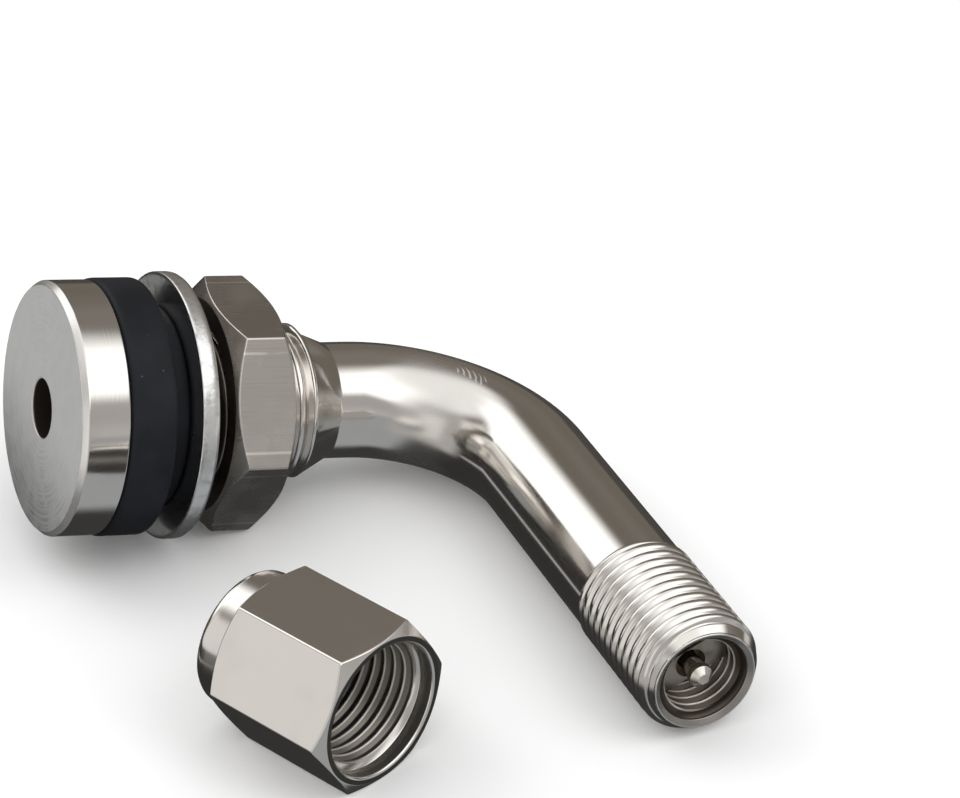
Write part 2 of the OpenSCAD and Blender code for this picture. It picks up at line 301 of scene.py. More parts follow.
@dataclass(frozen=True)
class Crease:
    """A few fine wrinkles across the outside of a bend.

    Attributes:
        along: distance of their middle along the centreline.
        turn: their middle round the tube, in shares of a turn.
        reach: half the length of tube that they cover.
        half_turn: half their own length, in shares of a turn.
        space: distance between two wrinkles.
        lean: how much their middle shifts round the tube, in shares of a turn for each millimetre.
        slant: how many spaces a wrinkle runs along the tube over its own half length.
        bow: how many spaces a wrinkle bows over its own half length.
        wander: how far a wrinkle strays from an even row, in spaces.
        height: how high a wrinkle stands among the lathe marks.
        rough: how much duller a wrinkle is.
        dull_lag: how far before the wrinkles the plate is dullest from bending.
        dull_reach: half the length of tube that is dull.
        dull_rough: how much duller it is there.
    """

    along: float
    turn: float
    reach: float = 1.4
    half_turn: float = 0.022
    space: float = 0.52
    lean: float = 0.006
    slant: float = 1.2
    bow: float = 0.3
    wander: float = 1.1
    height: float = 3.0
    rough: float = 0.45
    dull_lag: float = 2.6
    dull_reach: float = 4.4
    dull_rough: float = 0.15

    def dull(self, kit: NodeKit) -> Value:
        """Where bending has dulled the plate: 1 where it is dullest and 0 away from there."""
        off = abs(kit.mark("along") - self.along + self.dull_lag)
        return 1 - off.rise(0.3 * self.dull_reach, self.dull_reach)

    def share(self, kit: NodeKit) -> Value:
        """Where the wrinkles are.

        Args:
            kit: builder of the material's tree.

        Returns:
            1 on a wrinkle and 0 away from them.
        """
        along = kit.mark("along") - self.along
        turn = (kit.mark("turn") - self.turn - along * self.lean) / self.half_turn
        stray = kit.noise(kit.point(), scale=900.0)
        near = (1 - abs(along).rise(0.7 * self.reach, self.reach)) * (1 - abs(turn).rise(0.5, 1.0))
        row = along / self.space - turn * self.slant + turn * turn * self.bow + stray * self.wander
        return near * abs(row.fract() * 2 - 1).rise(0.5, 0.9) * stray.rise(0.30, 0.45)


@dataclass(frozen=True)
class GapShade:
    """A stretch of thread painted dark, as painted shade where it lies under and between the rim fittings.

    Attributes:
        start: where it starts along the axis.
        end: where it starts to end.
        share: how much of the plate's colour it hides.
        rough: how much duller it is.
        fade_in: length over which it starts.
        fade_out: length over which it ends.
    """

    start: float
    end: float
    share: float = 0.85
    rough: float = 0.15
    fade_in: float = 0.1
    fade_out: float = 0.3

    def cover(self, along: Value) -> Value:
        """Where the painted shade is along the axis, from 0 to 1."""
        ends = along.rise(self.end, self.end + self.fade_out)
        return along.rise(self.start, self.start + self.fade_in) * (1 - ends)


@dataclass(frozen=True)
class PlatedNickel(Finish):
    """Polished nickel plate on turned brass, dull inside bores and thread roots, which are painted brown as
    painted shade, with painted highlights on ridges inside bores and painted shade low on faced ends.

    Attributes:
        face_fade: heights between which a faced end is painted darker towards the floor, as painted shade.
        crease: the wrinkles of a bend.
        grease: the stretch of thread painted dark, as painted shade under and between the rim fittings.
    """

    plate: Colour = (0.80, 0.775, 0.74)
    cloud: Colour = (0.72, 0.69, 0.65)
    root_tint: Colour = (0.42, 0.37, 0.32)
    bore_tint: Colour = (0.085, 0.07, 0.057)
    bore_ridge: Colour = (0.74, 0.69, 0.63)
    face_tint: Colour = (0.77, 0.77, 0.755)
    face_dull: Colour = (0.13, 0.133, 0.13)
    gloss: float = 0.11
    face_gloss: float = 0.36
    bore_gloss: float = 0.28
    face_metal: float = 0.55
    bore_metal: float = 0.8
    relief: float = 0.0016
    face_fade: tuple[float, float] = (0.5, 11.0)
    low_share: float = 0.78
    worn_share: float = 0.08
    worn_low_share: float = 0.2
    cloud_share: float = 0.3
    cloud_rough: float = 0.04
    root_share: float = 0.85
    root_rough: float = 0.06
    grain_height: float = 0.35
    face_height: float = 2.0
    crease: Crease | None = None
    grease: GapShade | None = None

    def sockets(self, kit: NodeKit) -> Sockets:
        """Plate with clouds, lathe marks and a turned face, painted brown shade in roots and bores, painted
        shade low on faced ends and painted highlights on ridges in bores.

        Args:
            kit: builder of the material's tree.

        Returns:
            Values or links of the shader's sockets.
        """
        point = kit.point()
        cloud = kit.noise(point, scale=380.0, detail=4.0)
        grain = kit.noise(point, scale=6500.0)
        facing, bore, root = kit.mark("facing"), kit.mark("bore"), kit.mark("root")
        along, reach = kit.mark("along"), kit.mark("reach")
        lathe, rings = kit.lines(along, per_mm=7.0), kit.lines(reach, per_mm=9.0)
        # Painted shade: faced ends are painted darker towards the floor, and their wear marks darker there
        # too.
        low = 1 - (kit.dot(point, UP) / MM).rise(*self.face_fade)
        patch = kit.noise(point, scale=900.0, detail=3.0).rise(0.36, 0.62)
        worn = kit.lines(reach, per_mm=5.0).rise(0.40, 0.62) * patch
        # Real wear marks and painted shade towards the floor, mixed into one share.
        dull = worn * (self.worn_share + self.worn_low_share * low) + low * self.low_share
        colour = kit.mix(cloud.rise(0.42, 0.72) * self.cloud_share, self.plate, self.cloud)
        colour = kit.mix(facing, colour, kit.mix(dull, self.face_tint, self.face_dull))
        # Painted highlight: the ridges of a thread inside a bore are painted pale against the bore's painted
        # shade.
        crest_glint = root.rise(0.68, 0.92)
        # Painted shade: bores and thread roots are painted dark brown.
        colour = kit.mix(bore, colour, kit.mix(crest_glint, self.bore_tint, self.bore_ridge))
        colour = kit.mix((root - bore).rise(0.78, 1.0) * self.root_share, colour, self.root_tint)
        rough = self.gloss + self.cloud_rough * cloud.rise(0.45, 0.75) + root * self.root_rough
        rough = rough + facing * (self.face_gloss - self.gloss) + bore * (self.bore_gloss - self.gloss)
        faced = facing * self.face_height
        marks = lathe + faced * (rings - lathe) + (self.grain_height + faced) * grain
        if self.crease:
            wrinkle = self.crease.share(kit)
            marks = marks + wrinkle * self.crease.height
            rough = rough + wrinkle * self.crease.rough + self.crease.dull(kit) * self.crease.dull_rough
        # Painted shade: the shank is painted dark under and between the rim fittings.
        if self.grease:
            cover = self.grease.cover(along)
            colour = kit.mix(cover * self.grease.share, colour, self.bore_tint)
            rough = rough + cover * self.grease.rough
        return {
            "Base Color": colour,
            "Metallic": 1 - facing * (1 - self.face_metal) - bore * (1 - self.bore_metal) * (1 + crest_glint),
            "Roughness": rough,
            "Normal": kit.relief(marks, self.relief),
        }


@dataclass(frozen=True)
class DrawnNickel(Finish):
    """Satin nickel on drawn hexagon bar, with fine lines along the bar and turned end faces, painted
    highlight lines on the flats and painted shade at the seat and in the roots.

    Attributes:
        turn: how the bar is turned from the part's frame, in radians.
        seat: where the bar starts along its axis.
        length: the bar's length.
        die_place: how far a painted highlight line is off the middle of a corner, in shares of a side.
        die_edge: where a painted highlight line starts and ends to fade, from its middle.
        die_inset: where a painted highlight line starts and has reached its full strength, from the bar's
            ends.
        seat_edge: where the painted shade at the seat, next to the washer, starts and ends to fade.
        line_size: size of a drawn line along and across the bar.
    """

    turn: Triple
    seat: float
    length: float
    plate: Colour = (0.60, 0.57, 0.535)
    line: Colour = (0.47, 0.44, 0.41)
    root_tint: Colour = (0.34, 0.30, 0.26)
    seat_tint: Colour = (0.10, 0.085, 0.07)
    die_line: Colour = (0.86, 0.84, 0.80)
    die_place: float = 0.105
    die_edge: tuple[float, float] = (0.006, 0.013)
    die_inset: tuple[float, float] = (0.50, 0.58)
    seat_edge: tuple[float, float] = (0.01, 0.05)
    gloss: float = 0.20
    cloud_rough: float = 0.12
    face_rough: float = 0.10
    line_rough: float = 0.08
    line_share: float = 0.55
    bore_share: float = 0.5
    relief: float = 0.0011
    line_size: Triple = (5.0, 0.07, 0.07)

    def sockets(self, kit: NodeKit) -> Sockets:
        """Plate with drawn lines along the bar, painted highlight lines, and painted shade at the seat and in
        the roots.

        Args:
            kit: builder of the material's tree.

        Returns:
            Values or links of the shader's sockets.
        """
        point = kit.point()
        size = tuple(length * MM for length in self.line_size)
        bar = kit.node("ShaderNodeMapping", {"vector_type": "TEXTURE"},
                       {"Vector": point, "Rotation": self.turn, "Scale": size})
        drawn = kit.noise(bar.outputs[0], scale=1.0, detail=3.0)
        cloud = kit.noise(point, scale=300.0, detail=3.0)
        facing, root, bore = kit.mark("facing"), kit.mark("root"), kit.mark("bore")
        rings = kit.lines(kit.mark("reach"), per_mm=8.0)
        marks = drawn + facing * (rings - drawn)
        inside = kit.mark("along") - self.seat
        off_corner = abs((kit.mark("turn") * HEX_SIDES).fract() - 0.5)
        # Painted highlight: a pale broken line is painted along each flat, near each corner.
        glint_mask = (1 - abs(off_corner - self.die_place).rise(*self.die_edge)) * cloud.rise(0.36, 0.50)
        glint_mask = glint_mask * inside.least(self.length - inside).rise(*self.die_inset) * (1 - bore)
        colour = kit.mix(marks.rise(0.40, 0.75) * self.line_share, self.plate, self.line)
        colour = kit.mix(glint_mask, colour, self.die_line)
        # Painted shade: the nut is painted dark where it faces the washer.
        colour = kit.mix(1 - inside.rise(*self.seat_edge), colour, self.seat_tint)
        # Painted shade: thread roots and the bore are painted darker.
        colour = kit.mix(root.most(bore * self.bore_share).rise(0.2, 1.0), colour, self.root_tint)
        rough = self.gloss + self.cloud_rough * cloud.rise(0.4, 0.8)
        rough = rough + self.face_rough * facing + self.line_rough * marks
        return {
            "Base Color": colour,
            "Metallic": 1.0,
            "Roughness": rough,
            "Normal": kit.relief(marks, self.relief),
        }


@dataclass(frozen=True)
class ZincPlate(Finish):
    """Dull zinc on stamped steel, with a fine grain."""

    plate: Colour = (0.88, 0.88, 0.875)
    stain: Colour = (0.56, 0.565, 0.57)
    gloss: float = 0.30
    stain_rough: float = 0.16
    stain_height: float = 0.5
    face_gloss: float = 0.10
    face_clean: float = 0.6
    face_even: float = 0.5
    face_smooth: float = 0.8
    relief: float = 0.022

    def sockets(self, kit: NodeKit) -> Sockets:
        """Plate with stains and grain.

        Args:
            kit: builder of the material's tree.

        Returns:
            Values or links of the shader's sockets.
        """
        point = kit.point()
        stain = kit.noise(point, scale=1500.0, detail=5.0)
        grain = kit.noise(point, scale=3200.0, detail=3.0)
        facing = kit.mark("facing")
        colour = kit.mix(stain.rise(0.45, 0.75) * (1 - self.face_clean * facing), self.plate, self.stain)
        uneven = self.stain_rough * stain.rise(0.4, 0.8) * (1 - self.face_even * facing)
        marks = (grain + self.stain_height * stain) * (1 - self.face_smooth * facing)
        return {
            "Base Color": colour,
            "Metallic": 1.0,
            "Roughness": self.gloss + uneven - self.face_gloss * facing,
            "Normal": kit.relief(marks, self.relief),
        }


@dataclass(frozen=True)
class MouldedRubber(Finish):
    """Matt black rubber with a fine bloom and a few pale specks."""

    base: Colour = (0.005, 0.006, 0.009)
    bloom: Colour = (0.011, 0.0125, 0.018)
    speck: Colour = (0.09, 0.09, 0.09)
    speck_share: float = 0.8
    gloss: float = 0.52
    bloom_rough: float = 0.14
    shine: float = 0.28
    relief: float = 0.006

    def sockets(self, kit: NodeKit) -> Sockets:
        """Rubber with bloom, grain and specks.

        Args:
            kit: builder of the material's tree.

        Returns:
            Values or links of the shader's sockets.
        """
        point = kit.point()
        bloom = kit.noise(point, scale=260.0, detail=4.0)
        grain = kit.noise(point, scale=5200.0)
        cell = kit.number("ShaderNodeTexVoronoi", None, {"Vector": point, "Scale": 900.0}, "Distance")
        patch = kit.noise(point, scale=190.0).rise(0.58, 0.68)
        speck = (1 - cell.rise(0.03, 0.08)) * patch
        colour = kit.mix(bloom.rise(0.4, 0.75), self.base, self.bloom)
        return {
            "Base Color": kit.mix(speck * self.speck_share, colour, self.speck),
            "Roughness": self.gloss + self.bloom_rough * bloom,
            "Specular IOR Level": self.shine,
            "Normal": kit.relief(grain, self.relief),
        }


@dataclass(frozen=True)
class CoreMetal(Finish):
    """Bare turned metal of the valve core, slightly clouded."""

    metal: Colour = (0.66, 0.61, 0.52)
    cloud: Colour = (0.47, 0.42, 0.34)
    gloss: float = 0.24
    cloud_rough: float = 0.14
    relief: float = 0.002

    def sockets(self, kit: NodeKit) -> Sockets:
        """Metal with clouds and fine marks.

        Args:
            kit: builder of the material's tree.

        Returns:
            Values or links of the shader's sockets.
        """
        point = kit.point()
        cloud = kit.noise(point, scale=1300.0, detail=4.0)
        grain = kit.noise(point, scale=7000.0)
        return {
            "Base Color": kit.mix(cloud.rise(0.4, 0.75), self.metal, self.cloud),
            "Metallic": 1.0,
            "Roughness": self.gloss + self.cloud_rough * cloud,
            "Normal": kit.relief(grain, self.relief),
        }


@dataclass(frozen=True)
class SealRing(Finish):
    """Coloured seal ring with a faint mottle."""

    base: Colour = (0.42, 0.035, 0.025)
    mottle: Colour = (0.30, 0.022, 0.018)
    gloss: float = 0.38
    mottle_rough: float = 0.1
    relief: float = 0.004

    def sockets(self, kit: NodeKit) -> Sockets:
        """Plastic with mottle and grain.

        Args:
            kit: builder of the material's tree.

        Returns:
            Values or links of the shader's sockets.
        """
        point = kit.point()
        mottle = kit.noise(point, scale=1600.0, detail=3.0)
        return {
            "Base Color": kit.mix(mottle.rise(0.4, 0.7), self.base, self.mottle),
            "Roughness": self.gloss + self.mottle_rough * mottle,
            "Normal": kit.relief(mottle, self.relief),
        }


# Places and outlines

@dataclass(frozen=True)
class Axes:
    """A straight piece's own axes: where it starts, its long axis and two directions across it."""

    origin: Vector
    along: Vector
    side: Vector
    up: Vector

    def out(self, s: float, turn: float) -> Vector:
        """Unit direction away from the axis at a turn, the same at every distance s along it."""
        angle = math.tau * turn
        return math.cos(angle) * self.side + math.sin(angle) * self.up

    def at(self, s: float, r: float, turn: float) -> Vector:
        """Place in metres of a point at a distance s along the axis, r from it, and at a turn."""
        return self.origin + MM * (s * self.along + r * self.out(s, turn))

    def euler(self) -> Triple:
        """How the axes are turned from the part's frame, in radians."""
        return tuple(Matrix((self.along, self.side, self.up)).transposed().to_euler())


@dataclass(frozen=True)
class BentPath:
    """The stem's bent centreline: straight, a quarter turn, and straight again to the mouth."""

    axes: Axes
    bend_start: float
    bend_r: float

    @property
    def bend_end(self) -> float:
        """Distance along the centreline where the bend ends."""
        return self.bend_start + self.bend_r * math.pi / 2

    def bent(self, s: float) -> float:
        """Angle that the centreline has turned by, in radians."""
        return min(max(s - self.bend_start, 0.0) / self.bend_r, math.pi / 2)

    def out(self, s: float, turn: float) -> Vector:
        """Unit direction away from the centreline.

        Args:
            s: distance along the centreline.
            turn: share of a turn round it.

        Returns:
            The direction.
        """
        bent, angle = self.bent(s), math.tau * turn
        side = math.sin(bent) * self.axes.along + math.cos(bent) * self.axes.side
        return math.cos(angle) * side + math.sin(angle) * self.axes.up

    def at(self, s: float, r: float, turn: float) -> Vector:
        """Place in metres of a point.

        Args:
            s: distance along the centreline.
            r: distance from it.
            turn: share of a turn round it.

        Returns:
            The point in the part's frame.
        """
        bent = self.bent(s)
        x = min(s, self.bend_start) + self.bend_r * math.sin(bent)
        y = -self.bend_r * (1 - math.cos(bent)) - max(s - self.bend_end, 0.0)
        centre = x * self.axes.along + y * self.axes.side
        return self.axes.origin + MM * (centre + r * self.out(s, turn))


@dataclass(frozen=True)
class Spot:
    """A corner of a turned outline, with the marks of the stretch that follows it.

    Attributes:
        s: distance along the axis.
        r: distance from the axis.
        ease: how far the corner is broken back along its two stretches.
        cuts: how many pieces the stretch that follows is divided into.
        bore: 1 inside a hole.
        facing: 1 on a faced end.
    """

    s: float
    r: float
    ease: float = 0.0
    cuts: int = 1
    bore: float = 0.0
    facing: float = 0.0

    def toward(self, other: "Spot", share: float) -> "Spot":
        """A plain spot on the straight line to another one."""
        return Spot(self.s + (other.s - self.s) * share, self.r + (other.r - self.r) * share,
                    bore=self.bore, facing=self.facing)

    def gap(self, other: "Spot") -> float:
        """Distance to another spot."""
        return math.hypot(other.s - self.s, other.r - self.r)

    def marked(self, other: "Spot") -> "Spot":
        """This spot with the marks of another one."""
        return Spot(self.s, self.r, bore=other.bore, facing=other.facing)


def broken_corner(before: Spot, here: Spot, after: Spot) -> list[Spot]:
    """Breaks a corner with a small curve, with one more spot on each side to keep the flats flat.

    Args:
        before: the corner before.
        here: the corner to break.
        after: the corner after.

    Returns:
        The spots that stand for the corner.
    """
    back, ahead = (here.ease / max(here.gap(spot), MERGE) for spot in (before, after))
    first = here.toward(before, min(back, BREAK_LIMIT)).marked(before)
    last = here.toward(after, min(ahead, BREAK_LIMIT))
    spots = [here.toward(before, min(KEEP_FLAT * back, KEEP_FLAT_LIMIT)).marked(before)]
    for step in range(BREAK_STEPS + 1):
        share = step / BREAK_STEPS
        curve = first.toward(here, share).toward(here.toward(last, share), share)
        spots.append(curve.marked(before if share < 0.5 else here))
    return [*spots, here.toward(after, min(KEEP_FLAT * ahead, KEEP_FLAT_LIMIT))]


def outline(corners: Sequence[Spot], closed: bool) -> list[Spot]:
    """Works out a turned outline from its corners.

    Args:
        corners: the corners in order.
        closed: whether the last one joins the first.

    Returns:
        The outline's spots.
    """
    spots: list[Spot] = []
    for number, here in enumerate(corners):
        after = corners[(number + 1) % len(corners)]
        is_end = not closed and number in (0, len(corners) - 1)
        if here.ease > 0 and not is_end:
            spots += broken_corner(corners[number - 1], here, after)
        else:
            spots.append(here)
        spots += [here.toward(after, cut / here.cuts) for cut in range(1, here.cuts)]
    return spots


def even_turns() -> list[float]:
    """Even shares of a turn for a round piece."""
    return [step / ROUND_STEPS for step in range(ROUND_STEPS)]


@dataclass(frozen=True)
class Hexagon:
    """A hexagon with slightly rounded corners, with a flat at turn 0.

    Attributes:
        across: distance across flats.
        corner: radius of a corner's rounding.
        fan: where a rounding is divided, in shares of its half angle.
    """

    across: float
    corner: float = 0.2
    fan: tuple[float, ...] = (0.0, 0.3, 0.6, 0.85, 1.0, 1.15)

    @property
    def centre(self) -> float:
        """Distance from the axis to the centre of a corner's rounding."""
        return (self.across / 2 - self.corner) / math.cos(HALF_SIDE)

    @property
    def arc(self) -> float:
        """Angle from a corner to the end of its rounding."""
        return math.atan2(self.corner * math.sin(HALF_SIDE), self.centre + self.corner * math.cos(HALF_SIDE))

    def radius(self, turn: float) -> float:
        """Works out how far the hexagon is from the axis.

        Args:
            turn: share of a turn.

        Returns:
            The distance.
        """
        off = abs((turn * math.tau) % (2 * HALF_SIDE) - HALF_SIDE)
        if off >= self.arc:
            return self.across / 2 / math.cos(HALF_SIDE - off)
        across_arc = self.centre * math.sin(off)
        return self.centre * math.cos(off) + math.sqrt(self.corner ** 2 - across_arc ** 2)

    def turns(self) -> list[float]:
        """Where the outline is taken round the hexagon.

        Returns:
            Shares of a turn, closer together at the corners.
        """
        arc = self.arc / math.tau
        corners = [(side + 0.5) / HEX_SIDES for side in range(HEX_SIDES)]
        offs = [sign * share * arc for share in self.fan for sign in (-1, 1)]
        near = [corner + off for corner in corners for off in offs]
        return sorted({round(turn, 6) for turn in [*even_turns(), *near]})


def turned_piece(name: str, path: Axes | BentPath, turns: Sequence[float],
                 corners: Callable[[float], list[Spot]], closed: bool = True) -> bpy.types.Object:
    """Turns outlines round a path into a closed mesh that carries its marks as attributes.

    Args:
        name: the piece's name.
        path: the axis or centreline.
        turns: shares of a turn at which the outline is taken.
        corners: the outline's corners at a turn; every turn gives as many.
        closed: whether the outline is a loop; otherwise it starts and ends on the axis.

    Returns:
        The piece.
    """
    columns = [outline(corners(turn), closed) for turn in turns]
    count, rows = len(turns), len(columns[0])
    spots = [(spot, turn) for turn, column in zip(turns, columns) for spot in column]
    marks = {
        "along": [spot.s for spot, _ in spots],
        "reach": [spot.r for spot, _ in spots],
        "turn": [turn for _, turn in spots],
        "bore": [spot.bore for spot, _ in spots],
        "facing": [spot.facing for spot, _ in spots],
        "root": [0.0] * len(spots),
    }
    outs = [number for spot, turn in spots for number in path.out(spot.s, turn)]
    faces = [
        (a * rows + k, b * rows + k, b * rows + m, a * rows + m)
        for a, b in ((j, (j + 1) % count) for j in range(count))
        for k, m in ((k, (k + 1) % rows) for k in range(rows if closed else rows - 1))
    ]
    mesh = bpy.data.meshes.new(name)
    mesh.from_pydata([path.at(spot.s, spot.r, turn) for spot, turn in spots], [], faces)
    for mark, numbers in marks.items():
        mesh.attributes.new(mark, "FLOAT", "POINT").data.foreach_set("value", numbers)
    mesh.attributes.new("out", "FLOAT_VECTOR", "POINT").data.foreach_set("vector", outs)
    tidy_mesh(mesh)
    return placed(name, mesh)


def round_piece(name: str, path: Axes | BentPath, corners: list[Spot],
                closed: bool = True) -> bpy.types.Object:
    """Turns one outline all the way round; see turned_piece."""
    return turned_piece(name, path, even_turns(), lambda turn: corners, closed)


def tidy_mesh(mesh: bpy.types.Mesh) -> None:
    """Merges doubles, points the faces outwards and shades them smooth.

    Args:
        mesh: the mesh to tidy.
    """
    shape = bmesh.new()
    shape.from_mesh(mesh)
    bmesh.ops.remove_doubles(shape, verts=shape.verts, dist=MERGE)
    bmesh.ops.dissolve_degenerate(shape, edges=shape.edges, dist=MERGE)
    bmesh.ops.recalc_face_normals(shape, faces=shape.faces)
    shape.to_mesh(mesh)
    shape.free()
    mesh.shade_smooth()


def placed(name: str, data: bpy.types.ID) -> bpy.types.Object:
    """Makes an object and links it to the scene.

    Args:
        name: the object's name.
        data: its mesh, lamp or camera.

    Returns:
        The object.
    """
    made = bpy.data.objects.new(name, data)
    bpy.context.scene.collection.objects.link(made)
    return made


def settle(piece: bpy.types.Object) -> None:
    """Turns a piece's modifiers into a plain mesh.

    Args:
        piece: the piece, which keeps its name.
    """
    graph = bpy.context.evaluated_depsgraph_get()
    solid = piece.evaluated_get(graph)
    mesh = bpy.data.meshes.new_from_object(solid, preserve_all_data_layers=True, depsgraph=graph)
    piece.modifiers.clear()
    old, piece.data = piece.data, mesh
    bpy.data.meshes.remove(old)
    mesh.name = piece.name


# Threads and the spring, as Geometry Nodes

class Skin(Enum):
    """Which side of a wall a thread is cut on."""

    OUTER = 0.0
    BORE = 1.0


@dataclass(frozen=True)
class Thread:
    """A right-hand thread cut towards the axis from its outer radius.

    Attributes:
        pitch: rise in a turn.
        depth: depth of the groove.
        major: outer radius.
        start: where it starts along the axis.
        end: where it ends.
        skin: the side of the wall.
        phase: turns that its groove is set back by.
        lead: how fast it deepens at its ends.
        crest: flat share at the top.
        root: flat share at the bottom.
        swell: how far its flanks are rounded over into the crest, from 0 to 1.
    """

    pitch: float
    depth: float
    major: float
    start: float
    end: float
    skin: Skin = Skin.OUTER
    phase: float = 0.0
    lead: float = 1.2
    crest: float = 0.24
    root: float = 0.06
    swell: float = 0.0

    def cuts(self) -> int:
        """How many pieces the threaded stretch is divided into."""
        return round((self.end - self.start) / self.pitch * PITCH_STEPS)

    @classmethod
    def names(cls) -> list[str]:
        """Names of the tree's inputs, one for each size."""
        return [size.name.capitalize() for size in fields(cls)]

    def inputs(self) -> dict[str, float]:
        """The thread's sizes by the names of the tree's inputs."""
        sizes = [getattr(self, size.name) for size in fields(self)]
        return dict(zip(self.names(), sizes)) | {"Skin": self.skin.value}


class Tree:
    """A Geometry Nodes tree with named inputs."""

    def __init__(self, name: str, numbers: Sequence[str]) -> None:
        """Starts a tree with its inputs and output.

        Args:
            name: the tree's name.
            numbers: names of its number inputs.
        """
        self.tree = bpy.data.node_groups.new(name, "GeometryNodeTree")
        self.kit = NodeKit(self.tree)
        face = self.tree.interface
        face.new_socket("Geometry", in_out="INPUT", socket_type="NodeSocketGeometry")
        for number in numbers:
            face.new_socket(number, in_out="INPUT", socket_type="NodeSocketFloat")
        face.new_socket("Material", in_out="INPUT", socket_type="NodeSocketMaterial")
        face.new_socket("Geometry", in_out="OUTPUT", socket_type="NodeSocketGeometry")
        self.group = self.kit.node("NodeGroupInput")

    def given(self, name: str) -> Value:
        """One of the number inputs."""
        return self.kit.value(self.group, name)

    def mark(self, name: str) -> Value:
        """A number that the piece's mesh carries."""
        return self.kit.number("GeometryNodeInputNamedAttribute", {"data_type": "FLOAT"}, {"Name": name})

    def close(self, geometry: bpy.types.NodeSocket) -> None:
        """Ends the tree in real geometry with the given material.

        Args:
            geometry: what the tree has made.
        """
        real = self.kit.node("GeometryNodeRealizeInstances", None, {"Geometry": geometry})
        dressed = self.kit.node("GeometryNodeSetMaterial", None,
                                {"Geometry": real.outputs[0], "Material": self.group.outputs["Material"]})
        self.kit.node("NodeGroupOutput", None, {"Geometry": dressed.outputs[0]})

    def apply(self, piece: bpy.types.Object, numbers: dict[str, float], material: bpy.types.Material) -> None:
        """Puts the tree on a piece.

        Args:
            piece: the piece.
            numbers: values of the number inputs.
            material: the piece's material.
        """
        modifier = piece.modifiers.new(self.tree.name, "NODES")
        modifier.node_group = self.tree
        values = {**numbers, "Material": material}
        for item in self.tree.interface.items_tree:
            if item.in_out == "INPUT" and item.name in values:
                modifier[item.identifier] = values[item.name]


class ThreadTree(Tree):
    """Cuts a thread into a turned piece and marks its roots, which are its ridges inside a bore."""

    # How much shallower the groove gets for each millimetre that a chamfer lies below the outer radius.
    RUN_OUT = 0.4

    def __init__(self) -> None:
        """Builds the tree."""
        super().__init__("Thread cut", Thread.names())
        kit, given = self.kit, self.given
        along = self.mark("along")
        swing = (along / given("Pitch") - self.mark("turn") - given("Phase")).fract()
        top = abs(swing * 2 - 1)
        groove = ((1 - top - given("Crest")) / (1 - given("Crest") - given("Root"))).most(0).least(1)
        groove = groove * (1 + given("Swell") * (groove - 1))
        lead = (along - given("Start")).least(given("End") - along) * given("Lead")
        below = (given("Major") - self.mark("reach")).most(0) * self.RUN_OUT
        same = 1 - abs(self.mark("bore") - given("Skin"))
        depth = (groove * given("Depth") - below).least(lead).most(0) * same
        out = kit.node("GeometryNodeInputNamedAttribute", {"data_type": "FLOAT_VECTOR"}, {"Name": "out"})
        push = kit.node("ShaderNodeVectorMath", {"operation": "SCALE"},
                        {0: out.outputs[0], "Scale": depth * -MM})
        share = self.mark("root") + depth / given("Depth")
        rooted = kit.node("GeometryNodeStoreNamedAttribute", {"data_type": "FLOAT", "domain": "POINT"},
                          {"Geometry": self.group.outputs["Geometry"], "Name": "root", "Value": share})
        moved = kit.node("GeometryNodeSetPosition", None,
                         {"Geometry": rooted.outputs[0], "Offset": push.outputs[0]})
        self.close(moved.outputs[0])


class SpringTree(Tree):
    """Winds a wire into a coil spring along +Z."""

    WIRE_SIDES = 12
    TURN_STEPS = 28

    def __init__(self) -> None:
        """Builds the tree."""
        super().__init__("Coil spring", ("Turns", "Coil radius", "Wire radius", "Length"))
        kit, given = self.kit, self.given
        coil = kit.node("GeometryNodeCurveSpiral", None, {
            "Resolution": self.TURN_STEPS, "Rotations": given("Turns"), "Height": given("Length"),
            "Start Radius": given("Coil radius"), "End Radius": given("Coil radius")})
        wire = kit.node("GeometryNodeCurvePrimitiveCircle", None,
                        {"Resolution": self.WIRE_SIDES, "Radius": given("Wire radius")})
        swept = kit.node("GeometryNodeCurveToMesh", None,
                         {"Curve": coil.outputs[0], "Profile Curve": wire.outputs[0], "Fill Caps": True})
        self.close(swept.outputs[0])


# The valve

@dataclass(frozen=True)
class Setting:
    """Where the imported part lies: the axes of the stem and of the cap, from its joints and mounts."""

    stem: Axes
    cap: Axes

    @staticmethod
    def read(frame: dict, nut_mid: float, cap_mid: float) -> "Setting":
        """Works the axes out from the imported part.

        Args:
            frame: the loaded part.
            nut_mid: how far the nut's middle is from the head's face.
            cap_mid: how far the middle of the cap's thread is from its mouth.

        Returns:
            The axes.
        """
        nut = next(joint for joint in frame["joints"] if joint["name"] == "nut_turn")
        mounts = {mount["name"]: mount for mount in frame["record"]["mounts"]}
        along = Vector(nut["axis"]).normalized()
        side = -Vector(mounts["tip_thread"]["axis"]).normalized()
        origin = Vector(nut["pos_m"]) - MM * nut_mid * along
        stem = Axes(origin, along, side, along.cross(side))
        inward = -Vector(mounts["cap_thread"]["axis"]).normalized()
        mouth = Vector(mounts["cap_thread"]["pos_m"]) - MM * cap_mid * inward
        return Setting(stem, Axes(mouth, inward, -UP, inward.cross(-UP)))


def show(piece: bpy.types.Object, body: str, node: str) -> None:
    """Lets a finished piece stand for a node of the part and move with its body.

    Args:
        piece: the piece.
        body: the body it moves with.
        node: the node it stands for.
    """
    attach(piece, body)
    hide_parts(node)
    LOG.info("%s: %d faces on %s", piece.name, len(piece.data.polygons), body)


def dress(node: bpy.types.Object, finish: Finish) -> None:
    """Gives a node of the part a finish.

    Args:
        node: the node's object.
        finish: its finish.
    """
    material = finish.material()
    if not node.data.materials:
        node.data.materials.append(material)
    for slot in node.material_slots:
        slot.material = material
    LOG.info("%s: dressed in %s", node.name, finish.name)


